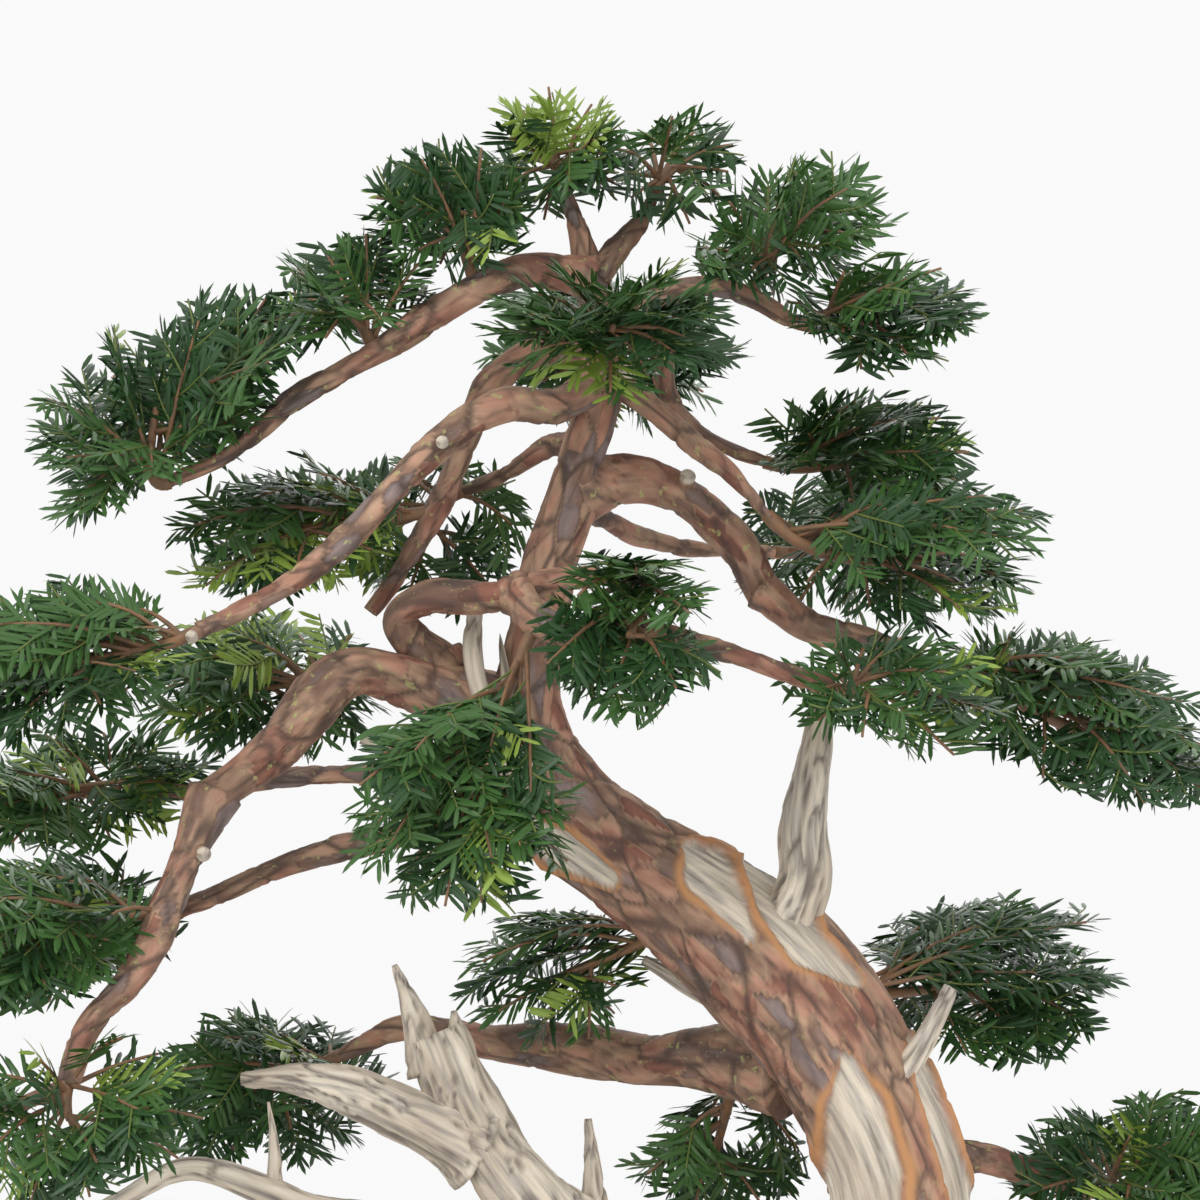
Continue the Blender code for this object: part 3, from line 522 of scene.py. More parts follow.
# Materials
class Finish:
    """A material and short ways to add its nodes."""

    def __init__(self, name, roughness):
        self.material = bpy.data.materials.new(name)
        self.material.use_nodes = True
        self.tree = self.material.node_tree
        self.shader = self.tree.nodes["Principled BSDF"]
        self.shader.inputs["Roughness"].default_value = roughness

    def add(self, kind, inputs=(), **settings):
        """A new node with its settings made and its inputs filled."""
        node = self.tree.nodes.new(kind)
        for key, value in settings.items():
            setattr(node, key, value)
        for key, value in dict(inputs).items():
            self.put(node.inputs[key], value)
        return node

    def put(self, socket, value):
        """Links another node's socket, or sets a number, vector or colour."""
        if isinstance(value, bpy.types.NodeSocket):
            self.tree.links.new(value, socket)
        elif socket.type == "RGBA":
            socket.default_value = (*value, 1)
        else:
            socket.default_value = value

    def value(self, name):
        """A value that the mesh carries by point."""
        return self.add("ShaderNodeAttribute", attribute_name=name).outputs["Fac"]

    def place(self, across, along):
        """The place on a limb, stretched by its own scales across and along the grain."""
        spot = self.add("ShaderNodeAttribute", attribute_name="place").outputs["Vector"]
        inputs = {"Vector": spot, "Scale": (across, across, along)}
        return self.add("ShaderNodeMapping", inputs).outputs["Vector"]

    def noise(self, vector, scale, detail=4.0, rough=0.55):
        """Cloudy noise from 0 to 1, on the given place or on the piece's own."""
        inputs = {"Scale": scale, "Detail": detail, "Roughness": rough}
        if vector is not None:
            inputs["Vector"] = vector
        return self.add("ShaderNodeTexNoise", inputs).outputs["Fac"]

    def ramp(self, fac, stops):
        """Colours at stops, and blends of them between."""
        node = self.add("ShaderNodeValToRGB", {"Fac": fac})
        elements = node.color_ramp.elements
        while len(elements) < len(stops):
            elements.new(0.5)
        for element, (at, colour) in zip(elements, stops):
            element.position = at
            element.color = (*colour, 1)
        return node.outputs["Color"]

    def mix(self, fac, first, second, blend="MIX"):
        """Two colours mixed by a share."""
        node = self.add("ShaderNodeMixRGB", blend_type=blend)
        self.put(node.inputs["Fac"], fac)
        self.put(node.inputs["Color1"], first)
        self.put(node.inputs["Color2"], second)
        return node.outputs["Color"]

    def bump(self, height, distance, strength=0.7):
        """Fine relief in the light alone, its height in metres."""
        inputs = {"Height": height, "Distance": distance, "Strength": strength}
        self.put(self.shader.inputs["Normal"], self.add("ShaderNodeBump", inputs).outputs["Normal"])

    def colour(self, value):
        """Sets the base colour, and returns the finished material."""
        self.put(self.shader.inputs["Base Color"], value)
        return self.material


def shaded(colour, share):
    """The colour made lighter or darker."""
    return tuple(share * part for part in colour)


def wood_colour(finish, settings):
    """Bleached wood: cream and grey streaks along the grain, with broad stains."""
    grain = finish.noise(finish.place(260, 22), 1.0, 6)
    base = finish.ramp(grain, [(0.30, DEAD_SHADE), (0.42, tuple(settings.dead_grey)),
                               (0.55, tuple(settings.dead_cream)), (0.75, DEAD_LIGHT)])
    broad = finish.noise(finish.place(40, 12), 1.0, 3)
    stains = finish.ramp(broad, [(0.35, (0.72, 0.69, 0.66)), (0.6, WHITE)])
    return finish.mix(1.0, base, stains, "MULTIPLY")


def bark_finish(settings):
    """Patches of bark in their own tones, cracks darkened with painted shade, flecks of lichen, callus and
    bare scars.
    """
    finish = Finish("yew_bark", 0.72)
    patches = finish.ramp(finish.value("tone"), [
        (0.10, GREY_BARK), (0.34, BROWN_BARK), (0.50, tuple(settings.bark_tan)),
        (0.66, tuple(settings.bark_salmon)), (0.85, tuple(settings.bark_red))])
    fine = finish.noise(finish.place(150, 50), 1.0, 6)
    mottling = finish.ramp(fine, [(0.3, (0.62, 0.58, 0.56)), (0.7, (1.12, 1.1, 1.08))])
    bark = finish.mix(1.0, patches, mottling, "MULTIPLY")
    # Painted shade: the bark's cracks are darkened to near black
    bark = finish.mix(finish.value("crack"), bark, BARK_CRACK_SHADE)
    spots = finish.noise(finish.place(230, 190), 1.0, 3)
    flecks = finish.ramp(spots, [(0.63, BLACK), (0.70, (0.8, 0.8, 0.8))])
    bark = finish.mix(finish.mix(1.0, flecks, finish.value("lichen"), "MULTIPLY"), bark, LICHEN)
    bark = finish.mix(finish.value("rim"), bark, tuple(settings.callus))
    bark = finish.mix(finish.value("bare"), bark, wood_colour(finish, settings))
    finish.bump(finish.noise(finish.place(330, 110), 1.0, 7, 0.65), 0.0012, 0.8)
    return finish.colour(bark)


def deadwood_finish(settings):
    """Bare wood all over, darkened in its cracks with painted shade."""
    finish = Finish("bleached_wood", 0.8)
    # Painted shade: the cracks darken the wood
    wood = finish.mix(finish.value("crack"), wood_colour(finish, settings), DEAD_CRACK_SHADE)
    finish.bump(finish.noise(finish.place(420, 26), 1.0, 6), 0.0010, 0.8)
    return finish.colour(wood)


def plain_finish(name, colour, roughness, specular=0.4):
    """One colour, for needles and shoots, whose colours are dealt out by shoot."""
    finish = Finish(name, roughness)
    finish.shader.inputs["Specular IOR Level"].default_value = specular
    return finish.colour(tuple(colour))


# Relief of the wood
def stretched(places, size, seed):
    """Places on a limb measured in sizes across and along it."""
    across, along = size
    return places * (1 / across, 1 / across, 1 / along) + seed


def cells(places, size, seed):
    """Distance to the nearest edge between cells, and an even tone for each cell."""
    edge = np.empty(len(places))
    tone = np.empty(len(places))
    for i, spot in enumerate(stretched(places, size, seed)):
        near, centres = noise.voronoi(Vector(spot))
        edge[i] = near[1] - near[0]
        tone[i] = noise.noise(centres[0] * 5.3)
    return edge, tone


def ripples(places, size, seed, octaves=3):
    """Smooth swellings about zero."""
    spots = stretched(places, size, seed)
    return np.array([noise.fractal(Vector(spot), 1.0, 2.0, octaves) for spot in spots])


def ramp_up(values, low, high):
    """0 up to low, 1 from high on, and smooth between."""
    share = np.clip((values - low) / (high - low), 0, 1)
    return share * share * (3 - 2 * share)


def scar_shares(points, out):
    """How far each point is from a bare scar's middle line, as a share of the scar's half width."""
    nearest = np.full(len(points), NO_SCAR)
    for scar in SCARS:
        for (x0, z0, w0), (x1, z1, w1) in zip(scar, scar[1:]):
            span = np.array((x1 - x0, z1 - z0), float)
            rel = points[:, [0, 2]] - (x0, z0)
            t = np.clip(rel @ span / (span @ span), 0, 1)
            gap = np.linalg.norm(rel - t[:, None] * span, axis=1)
            nearest = np.minimum(nearest, gap / (w0 + (w1 - w0) * t))
    return np.where(out[:, 1] < 0.15, nearest, NO_SCAR)


def bark_values(points, out, places, seed, depth, scarred):
    """Moves the points to the bark's relief and returns the values that its colours read, the cracks'
    painted shade among them.
    """
    edge, tone = cells(places, PLATE, seed)
    crack = 1 - ramp_up(edge, *PLATE_CRACK)
    broad = cells(places, PATCH, seed + PATCH_SEED_STEP)[0]
    crack = np.maximum(crack * 0.55, 1 - ramp_up(broad, *PATCH_CRACK))
    lumps = ripples(places, LUMP, seed)
    share = scar_shares(points, out) if scarred else np.full(len(points), NO_SCAR)
    bare = 1 - ramp_up(share, SCAR_EDGE, 1.0)
    rim = np.exp(-((share - CALLUS_PLACE) / CALLUS_SPREAD) ** 2)
    lift = (1 - bare) * (depth * (0.55 * tone + 0.5 * lumps - 0.9 * crack))
    lift = lift - SCAR_DEPTH * bare + CALLUS_HEIGHT * rim
    lift += bare * 0.7 * ripples(places, SCAR_GRAIN, seed)
    return points + out * lift[:, None], {
        "place": places * MM,
        "tone": np.clip(0.5 + 0.62 * tone + 0.35 * lumps, 0, 1),
        # The crack value sinks the relief and also darkens the colour there: painted shade in the fissures
        "crack": crack * ((1 - bare) * (1 - rim)) * 0.8,
        "rim": rim * (1 - bare),
        "bare": bare,
        "lichen": np.full(len(points), 0.25 if scarred else 0.9),
    }


def deadwood_values(points, out, places, seed, depth):
    """Moves the points to the grain and cracks of bare wood, and returns the cracks, which also take
    painted shade.
    """
    grain = ripples(places, DEAD_GRAIN, seed)
    crack = 1 - ramp_up(cells(places, DEAD_CRACK, seed)[0], *DEAD_CRACK_EDGE)
    lift = depth * (0.7 * grain - 1.3 * crack)
    return points + out * lift[:, None], {"place": places * MM, "crack": crack * 0.8}


def root_flare(rows, run, turn):
    """The trunk's outline: muscles all the way up, and roots that spread near the soil."""
    height = np.maximum(rows[:, 2:3] - SOIL_LEVEL, 0)
    muscles = np.cos(2 * turn + height / 60) + 0.6 * np.cos(3 * turn - height / 45)
    roots = ROOT_FLARE * np.exp(-height / ROOT_FADE) * np.cos(ROOT_COUNT * turn + 0.6)
    return 1 + BARK_WAVE * muscles + roots


def gnarled(limb):
    """The outline of a bough: swollen where it leaves its parent, and twisting as it goes."""
    phase = random.Random(limb.name).uniform(0, 2 * math.pi)

    def outline(rows, run, turn):
        collar = COLLAR * np.exp(-run / (1.3 * limb.base))
        knots = KNOTS * np.sin(run / (1.1 * limb.base) + phase)
        twist = TWIST * np.cos(2 * turn + phase + run / 15)
        return 1 + collar + knots + twist + FINE_TWIST * np.cos(3 * turn - run / 11)
    return outline


def splinter_shapes(piece):
    """The jagged prongs that rise from a piece of dead wood."""
    shapes = []
    for owner, root, tip, radius in SPLINTERS:
        if owner == piece:
            rows = smooth_line([root, 0.5 * (np.add(root, tip)) + (1.5, 0, 0), tip], 3)
            rows = np.column_stack([rows, radius * (1 - 0.88 * np.linspace(0, 1, len(rows)))])
            points, out, faces, place = round_limb(rows, SPLINTER_SIDES)
            shapes.append((points, faces, out, place))
    return shapes


def stub_shapes():
    """Short cut stubs, each on the nearest limb, with a bare end."""
    shapes = []
    stations = np.vstack([limb_line(limb, 4) for limb in LIMBS if limb.wood == "bark"])
    for x, z, radius in STUBS:
        root = stations[np.hypot(stations[:, 0] - x, stations[:, 2] - z).argmin()]
        tip = np.array((x, root[1] - root[3] - STUB_LENGTH, z))
        rows = np.column_stack([np.linspace(root[:3], tip, 6), np.full(6, radius)])
        points, out, faces, place = round_limb(rows, STUB_SIDES)
        bare = np.zeros(len(points))
        bare[-STUB_SIDES - 1:-2] = 1
        bare[-1] = 1
        shapes.append((points, faces, place, bare))
    return shapes


# Twigs and needles
def turned(slope, vectors, back=False):
    """Vectors turned into a sloping mass's own directions, or back."""
    angle = math.radians(-slope if back else slope)
    x, y, z = np.moveaxis(np.atleast_2d(vectors), 1, 0)
    return np.stack([x * math.cos(angle) + z * math.sin(angle), y,
                     z * math.cos(angle) - x * math.sin(angle)], 1)


def depth_in(mass, points):
    """How deep points lie in a mass's space: 0 at its middle and 1 on its surface."""
    local = turned(mass.slope, np.atleast_2d(points) - np.array(mass.middle, float))
    return np.linalg.norm(local / np.array(mass.half, float), axis=1)


def point_on(mass, direction, depth):
    """The point in that direction at that depth in the mass's space."""
    offset = turned(mass.slope, np.array(direction) * mass.half * depth, back=True)[0]
    return np.array(mass.middle) + offset


def stem_of(mass):
    """The stem runs on from its limb to the middle of the mass."""
    trunk = mass.limb == "trunk"
    rows = smooth_line(TRUNK_BENDS, 4) if trunk else limb_line(BY_NAME[mass.limb], 4)
    middle = np.array(mass.middle, float)
    if mass.root is None:
        heading = unit(rows[-1, :3] - rows[-3, :3])
        start = rows[-1, :3] - STEM_SINK * heading
    else:
        gaps = np.linalg.norm(rows[:, :3] - np.array(mass.root, float), axis=1)
        start = rows[gaps.argmin(), :3]
        heading = unit(middle - start)
    bend = start + heading * np.linalg.norm(middle - start) * STEM_BEND
    t = np.linspace(0, 1, STEM_POINTS)[:, None]
    return (1 - t) ** 2 * start + 2 * t * (1 - t) * bend + t**2 * middle


def spread(count, chance):
    """Directions dealt evenly round a mass, leaning to its front and back in turn."""
    start = chance.uniform(0, 1)
    found = []
    for i in range(count):
        turn = 2 * math.pi * (i + start + chance.uniform(-0.25, 0.25)) / count
        lean = (SPRAY_LEAN if i % 2 else -SPRAY_LEAN) * chance.uniform(0.1, 1.3)
        found.append(unit(np.array((math.cos(turn), lean, math.sin(turn)))))
    return found


def twig_line(start, tip, sag, count):
    """A bowed line from start to tip."""
    t = np.linspace(0, 1, count)[:, None]
    line = start + (tip - start) * t
    line[:, 2] += sag * np.sin(math.pi * t[:, 0])
    return line


def thin_tube(line, radii, sides):
    """Points, triangles and places of a tapering twig."""
    rows = np.column_stack([line, np.linspace(*radii, len(line))])
    points, out, faces, place = round_limb(rows, sides)
    return points, faces, place


class Foliage:
    """Every mass's twigs, shoots and needles, grown by one seeded rule."""

    def __init__(self, settings):
        self.twigs_per_mass = settings.twigs_per_mass
        self.shoot_length = settings.shoot_length * 1000
        self.needle_length = settings.needle_length * 1000
        self.needle_width = settings.needle_width * 1000
        self.needle_gap = settings.needle_gap * 1000
        self.twigs = []
        self.shoots = []
        self.needles = {"dark": [], "green": [], "young": []}
        for mass in MASSES:
            self.grow(mass)

    def grow(self, mass):
        """The stem, and twigs that fork from it all the way to the middle of the mass."""
        chance = random.Random(mass.name + "_leafy")
        stem = stem_of(mass)
        self.twigs.append(thin_tube(stem, STEM_RADII, STEM_SIDES))
        size = np.prod(np.array(mass.half, float)) ** (1 / 3)
        count = round(self.twigs_per_mass * size / MIDDLING_MASS)
        for i, direction in enumerate(spread(count, chance)):
            tip = point_on(mass, direction, chance.uniform(*TWIG_REACH))
            fork = FIRST_FORK + FORKED_STRETCH * (i + chance.random()) / count
            start = stem[min(len(stem) - 1, int(fork * len(stem)))]
            if np.linalg.norm(tip - start) > SHORTEST_TWIG:
                self.twig(mass, start, tip, chance)

    def twig(self, mass, start, tip, chance):
        """A leafy twig with side shoots to its left and right in turn."""
        length = np.linalg.norm(tip - start)
        line = twig_line(start, tip, chance.uniform(*TWIG_BOW) * length, TWIG_SPANS + 1)
        self.twigs.append(thin_tube(line, TWIG_RADII, TWIG_SIDES))
        heading = unit(tip - start)
        facing = (chance.uniform(-0.5, 0.5), chance.uniform(-0.9, -0.2), chance.uniform(0.35, 1.0))
        facing = unit(np.array(facing) - heading * (np.array(facing) @ heading))
        beside = np.cross(heading, facing)
        kind = self.kind_at(tip, chance)
        leafy_part = np.vstack([line[LEAFY_SPAN:], line[-1] + heading * LEAFY_TIP])
        self.leafy(mass, leafy_part, facing, kind, chance)
        place = FIRST_SHOOT_LONG_TWIG if length > LONG_TWIG else FIRST_SHOOT_SHORT_TWIG
        hand = chance.choice((-1, 1))
        while place < LAST_SHOOT:
            station = int(place * TWIG_SPANS)
            spot = line[station] + (line[station + 1] - line[station]) * (place * TWIG_SPANS % 1)
            angle = math.radians(chance.uniform(*SHOOT_TURN))
            out = unit(heading * math.cos(angle) + beside * hand * math.sin(angle)
                       + facing * chance.uniform(*SHOOT_LEAN))
            long = chance.uniform(*SHOOT_LENGTHS) * self.shoot_length * (1.1 - 0.55 * place)
            end = spot + out * long
            if depth_in(mass, end)[0] < 1.0:
                shoot = twig_line(spot, end, chance.uniform(*SHOOT_BOW) * long, SHOOT_POINTS)
                self.shoots.append(thin_tube(shoot, SHOOT_RADII, SHOOT_SIDES))
                self.leafy(mass, shoot, facing, self.kind_at(end, chance, kind), chance)
            hand = -hand
            place += chance.uniform(*SHOOT_SPACING) / length

    def kind_at(self, spot, chance, near=None):
        """A shoot's colour: young by the places of new growth, else mostly as its twig."""
        for x, z in TUFTS:
            close = math.hypot(spot[0] - x, spot[2] - z) < TUFT_REACH
            if close and chance.random() < TUFT_CHANCE:
                return "young"
        if chance.random() < YOUNG_CHANCE:
            return "young"
        if near in ("dark", "green") and chance.random() < SAME_CHANCE:
            return near
        return "dark" if chance.random() < DARK_CHANCE else "green"

    def leafy(self, mass, line, facing, kind, chance):
        """Two ranks of needles along a shoot, swept towards its tip."""
        run = run_along(line)
        count = int(run[-1] / self.needle_gap)
        if count < 2:
            return
        stations = np.repeat(np.linspace(0.04, 1, count), 2) * run[-1]
        share = stations / run[-1]
        root = np.stack([np.interp(stations, run, line[:, i]) for i in range(3)], 1)
        heading = unit(line[-1] - line[0])
        beside = np.cross(heading, facing)
        rng = np.random.default_rng(chance.randrange(1 << 30))
        hand = np.tile([-1.0, 1.0], count)
        sweep = np.radians(rng.uniform(*NEEDLE_SWEEP, 2 * count) - TIP_SWEEP * share**4)
        lift = rng.uniform(*NEEDLE_LIFT, 2 * count)
        way = unit(heading * np.cos(sweep)[:, None] + beside * (hand * np.sin(sweep))[:, None]
                   + facing * lift[:, None])
        swell = np.sin(math.pi * np.clip(share * 0.85 + 0.1, 0, 1))
        long = self.needle_length * rng.uniform(*NEEDLE_LENGTHS, 2 * count) \
            * (SHORTEST_NEEDLE + (1 - SHORTEST_NEEDLE) * swell)
        tips = root + way * long[:, None]
        inside = ((tips > REACH_LOW) & (tips < REACH_HIGH)).all(axis=1)
        keep = inside & (depth_in(mass, tips) < NEEDLE_DEPTH)
        top = unit(facing + 0.35 * rng.normal(size=(2 * count, 3)))
        self.needles[kind].append(np.column_stack([root, way, top, long])[keep])

    def blades(self, kind):
        """Points of the needle blades: pointed, keeled, and bent a little down to the tip."""
        rows = np.vstack(self.needles[kind])
        root, way, top, long = rows[:, :3], rows[:, 3:6], rows[:, 6:9], rows[:, 9:10]
        side = unit(np.cross(way, top))
        top = np.cross(side, way)
        along, beside, raised = (share[:, None] for share in np.array(BLADE).T)
        long, width = long[:, None], self.needle_width
        height = raised * width - NEEDLE_DROOP * along**2 * long
        return root[:, None] + way[:, None] * (along * long) + side[:, None] * (beside * width) \
            + top[:, None] * height


def add_needles(foliage, kind, material):
    """The needles of one colour, in pieces that an export keeps whole."""
    points = foliage.blades(kind)
    for number, first in enumerate(range(0, len(points), MOST_NEEDLES)):
        some = points[first:first + MOST_NEEDLES]
        starts = len(BLADE) * np.arange(len(some))[:, None, None]
        triangles = (np.array(BLADE_FACES)[None] + starts).reshape(-1, 3)
        new_piece(f"needles_{kind}_{number + 1}", some.reshape(-1, 3), triangles, material,
                  [mass.name for mass in MASSES], smooth=False)


def soil_surface(half_x, half_y, top):
    """Points, triangles, gaps and tones of the granules, which bank down to the pot's wall. The gaps carry
    painted shade between the granules.
    """
    turn = np.linspace(0, 2 * math.pi, SOIL_TURNS, endpoint=False)
    rings = np.concatenate([np.linspace(0.02, 0.93, SOIL_RINGS), [1.0, 1.0]])
    reach = (np.abs(np.cos(turn) / half_x) ** SOIL_SQUARENESS
             + np.abs(np.sin(turn) / half_y) ** SOIL_SQUARENESS) ** (-1 / SOIL_SQUARENESS)
    corner = POT_CORNER - POT_WALL - POT_LIP_INSET
    furthest = np.hypot(half_x, half_y) - corner * (math.sqrt(2) - 1)
    reach = np.minimum(reach, furthest) * SOIL_REACH
    x = rings[:, None] * reach * np.cos(turn)
    y = rings[:, None] * reach * np.sin(turn)
    level = top - (top - SOIL_EDGE_LEVEL) * ramp_up(rings, 0.86, 1.0)
    spots = np.stack([x.ravel(), y.ravel(), 0 * x.ravel()], 1)
    # The distance to a granule's edge shapes the granules and sets the painted shade in the gaps between
    # them
    edge, tone = cells(spots, (GRANULE, GRANULE), 1.0)
    z = (level[:, None] + 0 * x).ravel() + GRANULE_HEIGHT * ramp_up(edge, 0, 0.5)
    z = z - GRANULE_SINK + GRANULE_SPREAD * tone
    z[-SOIL_TURNS:] -= SOIL_SKIRT
    faces = [wall[:, ::-1] for wall in wall_faces(len(rings), SOIL_TURNS)]
    return np.stack([x.ravel(), y.ravel(), z], 1), np.vstack(faces), edge, tone


# Settings that a user would change
def size_setting(name, default, description):
    """A length in metres."""
    return bpy.props.FloatProperty(name=name, description=description, default=default, unit="LENGTH")


def colour_setting(name, default, description):
    """A colour as red, green and blue."""
    return bpy.props.FloatVectorProperty(name=name, description=description, default=default,
                                         subtype="COLOR")


class BonsaiSettings(bpy.types.PropertyGroup):
    """Sizes and colours of the plant"""
    needle_length: size_setting("Needle length", 0.0205, "Length of a full needle")
    needle_width: size_setting("Needle width", 0.0025, "Width of a needle")
    needle_gap: size_setting("Needle gap", 0.0030, "Distance between needles on one side of a shoot")
    shoot_length: size_setting("Shoot length", 0.036, "Length of a side shoot")
    twigs_per_mass: bpy.props.IntProperty(
        name="Twigs", description="Twigs in a mass of middling size", default=15)
    bark_depth: size_setting("Bark relief", 0.0015, "Height of the bark's plates")
    bark_tan: colour_setting("Tan bark", (0.46, 0.30, 0.20), "Smooth patches of bark")
    bark_salmon: colour_setting("Salmon bark", (0.50, 0.27, 0.185), "Fresh patches of bark")
    bark_red: colour_setting("Red bark", (0.28, 0.12, 0.08), "Reddish patches of bark")
    callus: colour_setting("Callus", (0.52, 0.25, 0.10), "Rim of living bark round a scar")
    dead_cream: colour_setting("Bare wood", (0.72, 0.63, 0.50), "Bleached bare wood")
    dead_grey: colour_setting("Weathered wood", (0.50, 0.45, 0.39), "Grey streaks in bare wood")
    dark_needle: colour_setting("Dark needles", (0.022, 0.065, 0.018), "Older needles")
    green_needle: colour_setting("Green needles", (0.045, 0.115, 0.025), "This year's needles")
    young_needle: colour_setting("Young needles", (0.22, 0.32, 0.05), "Newest tufts")
    twig_colour: colour_setting("Twigs", (0.26, 0.13, 0.06), "Young twigs")
    pot_colour: colour_setting("Pot", (0.20, 0.12, 0.085), "Unglazed clay")
    soil_colour: colour_setting("Soil", (0.24, 0.15, 0.09), "Baked-clay granules")


# Pieces, each with its own operator
class BONSAI_OT_living_wood(bpy.types.Operator):
    """Trunk and living boughs with the bark's relief, the bare scars and the cut stubs"""
    bl_idname = "bonsai.living_wood"
    bl_label = "Grow trunk and boughs"

    def execute(self, context):
        settings = context.scene.bonsai
        bark = bark_finish(settings)
        depth = settings.bark_depth * 1000
        shapes = []
        stems = [(TRUNK_BENDS, TRUNK_SIDES), (FORK_BENDS, FORK_SIDES)]
        for number, (bends, sides) in enumerate(stems):
            rows = smooth_line(bends, RING_SPACING)
            points, out, faces, place = round_limb(rows, sides, root_flare, level_base=number == 0)
            points, values = bark_values(points, out, place, TRUNK_SEED + number, depth, True)
            shapes.append((points, faces, *values.values()))
        points, faces, joined_values = joined(shapes)
        points[:, 2] = np.maximum(points[:, 2], SOIL_LEVEL - 4)
        new_piece("trunk_bark", points, faces, bark, ["trunk"], zip(values, joined_values))
        for number, limb in enumerate(limb for limb in LIMBS if limb.wood == "bark"):
            sides = THICK_BOUGH_SIDES if limb.base > THICK_LIMB else THIN_LIMB_SIDES
            rows = limb_line(limb, RING_SPACING)
            points, out, faces, place = round_limb(rows, sides, gnarled(limb))
            seed = BOUGH_SEED + LIMB_SEED_STEP * number
            points, values = bark_values(points, out, place, seed, BOUGH_RELIEF_SHARE * depth, False)
            new_piece(limb.name + "_bark", points, faces, bark, [limb.name], values)
        points, faces, (place, bare) = joined(stub_shapes())
        none = np.zeros(len(points))
        new_piece("cut_stubs", points, faces, bark, [], {
            "place": place * MM, "tone": none + 0.4, "crack": none, "rim": none, "bare": bare,
            "lichen": none})
        return {"FINISHED"}


class BONSAI_OT_dead_wood(bpy.types.Operator):
    """Bleached dead limbs, jins and splinters"""
    bl_idname = "bonsai.dead_wood"
    bl_label = "Carve dead wood"

    def execute(self, context):
        wood = deadwood_finish(context.scene.bonsai)
        for number, limb in enumerate(limb for limb in LIMBS if limb.wood != "bark"):
            thick = limb.base > THICK_LIMB
            sides = THICK_DEADWOOD_SIDES if thick else THIN_LIMB_SIDES
            rows = limb_line(limb, RING_SPACING)
            points, out, faces, place = round_limb(rows, sides, gnarled(limb))
            points, faces, (out, place) = joined([(points, faces, out, place), *splinter_shapes(limb.name)])
            seed = DEADWOOD_SEED + LIMB_SEED_STEP * number
            depth = THICK_DEAD_RELIEF if thick else DEAD_RELIEF
            points, values = deadwood_values(points, out, place, seed, depth)
            new_piece(limb.name + "_wood", points, faces, wood, [limb.name], values)
        return {"FINISHED"}


class BONSAI_OT_foliage(bpy.types.Operator):
    """Twigs, shoots and needles of every mass"""
    bl_idname = "bonsai.foliage"
    bl_label = "Grow twigs and needles"

    def execute(self, context):
        settings = context.scene.bonsai
        foliage = Foliage(settings)
        points, faces, (place,) = joined(foliage.twigs)
        finish = Finish("young_twig", 0.65)
        streaks = finish.noise(finish.place(200, 120), 1.0)
        shades = finish.ramp(streaks, [(0.35, DARK_TWIG), (0.62, tuple(settings.twig_colour))])
        new_piece("twigs", points, faces, finish.colour(shades), [], {"place": place * MM})
        points, faces, (place,) = joined(foliage.shoots)
        green = plain_finish("green_shoot", GREEN_SHOOT, 0.5)
        new_piece("green_shoots", points, faces, green, [], {"place": place * MM})
        for kind in foliage.needles:
            colour = getattr(settings, kind + "_needle")
            add_needles(foliage, kind, plain_finish(kind + "_needle", colour, 0.42))
        return {"FINISHED"}


class BONSAI_OT_soil(bpy.types.Operator):
    """Granules of soil that bank down from the trunk to the pot's wall"""
    bl_idname = "bonsai.soil"
    bl_label = "Fill soil"

    def execute(self, context):
        half_x, half_y, top = 1000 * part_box("soil")[1]
        points, faces, edge, tone = soil_surface(half_x, half_y, top)
        finish = Finish("baked_clay_granules", 0.95)
        colour = tuple(context.scene.bonsai.soil_colour)
        shades = finish.ramp(finish.value("tone"), [
            (0.2, shaded(colour, 0.45)), (0.5, colour), (0.8, shaded(colour, 1.5))])
        # Painted shade: the gaps between granules are darkened
        gaps = finish.ramp(finish.value("gap"), [(0.0, (0.25, 0.24, 0.23)), (0.25, WHITE)])
        finish.bump(finish.noise(None, 260.0, 4), 0.0006)
        soil = finish.colour(finish.mix(1.0, shades, gaps, "MULTIPLY"))
        new_piece("soil_granules", points, faces, soil, ["soil"],
                  {"tone": np.clip(0.5 + 0.7 * tone, 0, 1), "gap": edge})
        return {"FINISHED"}


class BONSAI_OT_pot(bpy.types.Operator):
    """Matt unglazed clay for the pot"""
    bl_idname = "bonsai.pot"
    bl_label = "Finish pot"

    def execute(self, context):
        colour = tuple(context.scene.bonsai.pot_colour)
        finish = Finish("unglazed_clay", 0.72)
        place = finish.add("ShaderNodeTexCoord").outputs["Object"]
        shades = finish.ramp(finish.noise(place, 9.0, 6), [
            (0.3, shaded(colour, 0.6)), (0.55, colour), (0.75, shaded(colour, 1.45))])
        finish.bump(finish.noise(place, 420.0, 5), 0.0005, 0.5)
        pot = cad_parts["pot"]
        pot.data.materials.clear()
        pot.data.materials.append(finish.colour(shades))
        return {"FINISHED"}


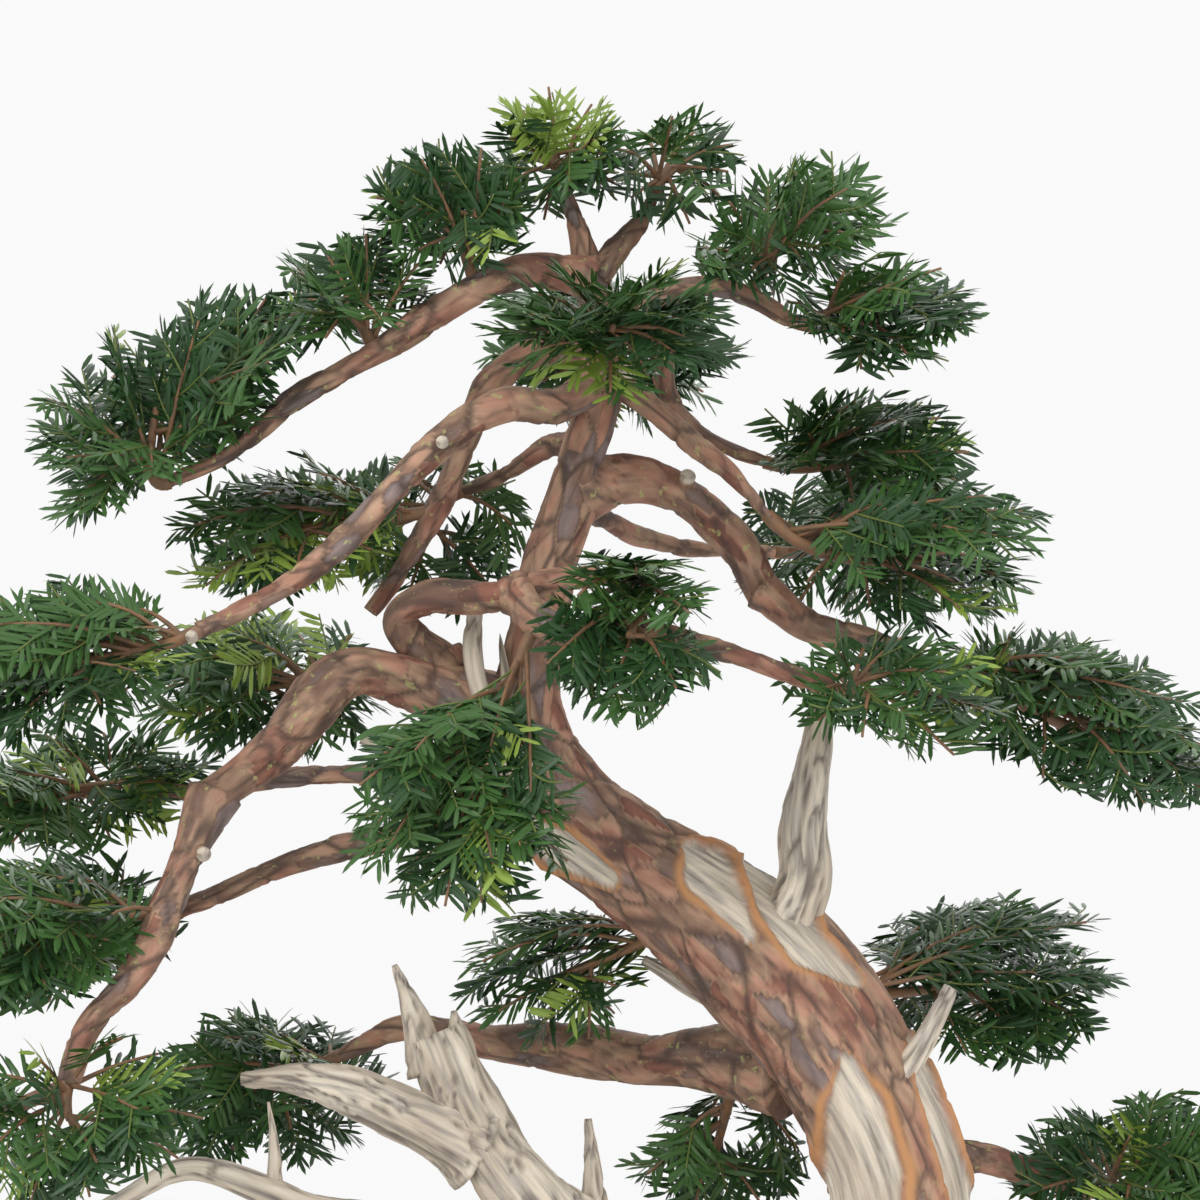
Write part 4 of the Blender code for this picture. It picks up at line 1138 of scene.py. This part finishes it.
class BONSAI_OT_stage(bpy.types.Operator):
    """Pale floor, soft studio light and the camera at the photograph's angle"""
    bl_idname = "bonsai.stage"
    bl_label = "Set the stage"

    def execute(self, context):
        scene = context.scene
        bpy.ops.mesh.primitive_circle_add(vertices=96, radius=FLOOR_RADIUS, fill_type="NGON",
                                          location=(0, 0, -FLOOR_DROP))
        floor = context.active_object
        floor.name = "floor"
        finish = Finish("pale_floor", 0.9)
        shades = finish.ramp(finish.noise(None, 3.0), [
            (0.3, (0.84, 0.84, 0.84)), (0.7, (0.88, 0.88, 0.88))])
        floor.data.materials.append(finish.colour(shades))
        scene.world = bpy.data.worlds.new("studio")
        scene.world.use_nodes = True
        backdrop = scene.world.node_tree.nodes["Background"]
        backdrop.inputs["Color"].default_value = (*WHITE, 1)
        backdrop.inputs["Strength"].default_value = WORLD_STRENGTH
        for name, place, size, power in LIGHTS:
            light = bpy.data.lights.new(name, "AREA")
            light.size = size
            light.energy = power
            lamp = bpy.data.objects.new(name, light)
            lamp.location = place
            aim = Vector(LIT_PLACE) - Vector(place)
            lamp.rotation_euler = aim.to_track_quat("-Z", "Y").to_euler()
            scene.collection.objects.link(lamp)
        camera = bpy.data.cameras.new("camera")
        camera.sensor_width = SENSOR_WIDTH
        camera.lens = CAMERA_LENS
        camera.clip_end = 50
        viewer = bpy.data.objects.new("camera", camera)
        viewer.location = CAMERA_PLACE
        viewer.rotation_euler = (math.radians(90), 0, 0)
        scene.collection.objects.link(viewer)
        scene.camera = viewer
        scene.view_settings.view_transform = "Standard"
        return {"FINISHED"}


STEPS = (BONSAI_OT_living_wood, BONSAI_OT_dead_wood, BONSAI_OT_foliage, BONSAI_OT_soil, BONSAI_OT_pot,
         BONSAI_OT_stage)


class BONSAI_PT_panel(bpy.types.Panel):
    """Lists the plant's settings and steps"""
    bl_label = "Yew bonsai"
    bl_idname = "BONSAI_PT_panel"
    bl_space_type = "VIEW_3D"
    bl_region_type = "UI"
    bl_category = "Bonsai"

    def draw(self, context):
        for name in BonsaiSettings.__annotations__:
            self.layout.prop(context.scene.bonsai, name)
        for step in STEPS:
            self.layout.operator(step.bl_idname)


CLASSES = (BonsaiSettings, *STEPS, BONSAI_PT_panel)


def register():
    for made in CLASSES:
        bpy.utils.register_class(made)
    bpy.types.Scene.bonsai = bpy.props.PointerProperty(type=BonsaiSettings)


def unregister():
    del bpy.types.Scene.bonsai
    for made in reversed(CLASSES):
        bpy.utils.unregister_class(made)


def main():
    register()
    for step in STEPS:
        group, call = step.bl_idname.split(".")
        getattr(getattr(bpy.ops, group), call)()


if __name__ == "__main__":
    main()
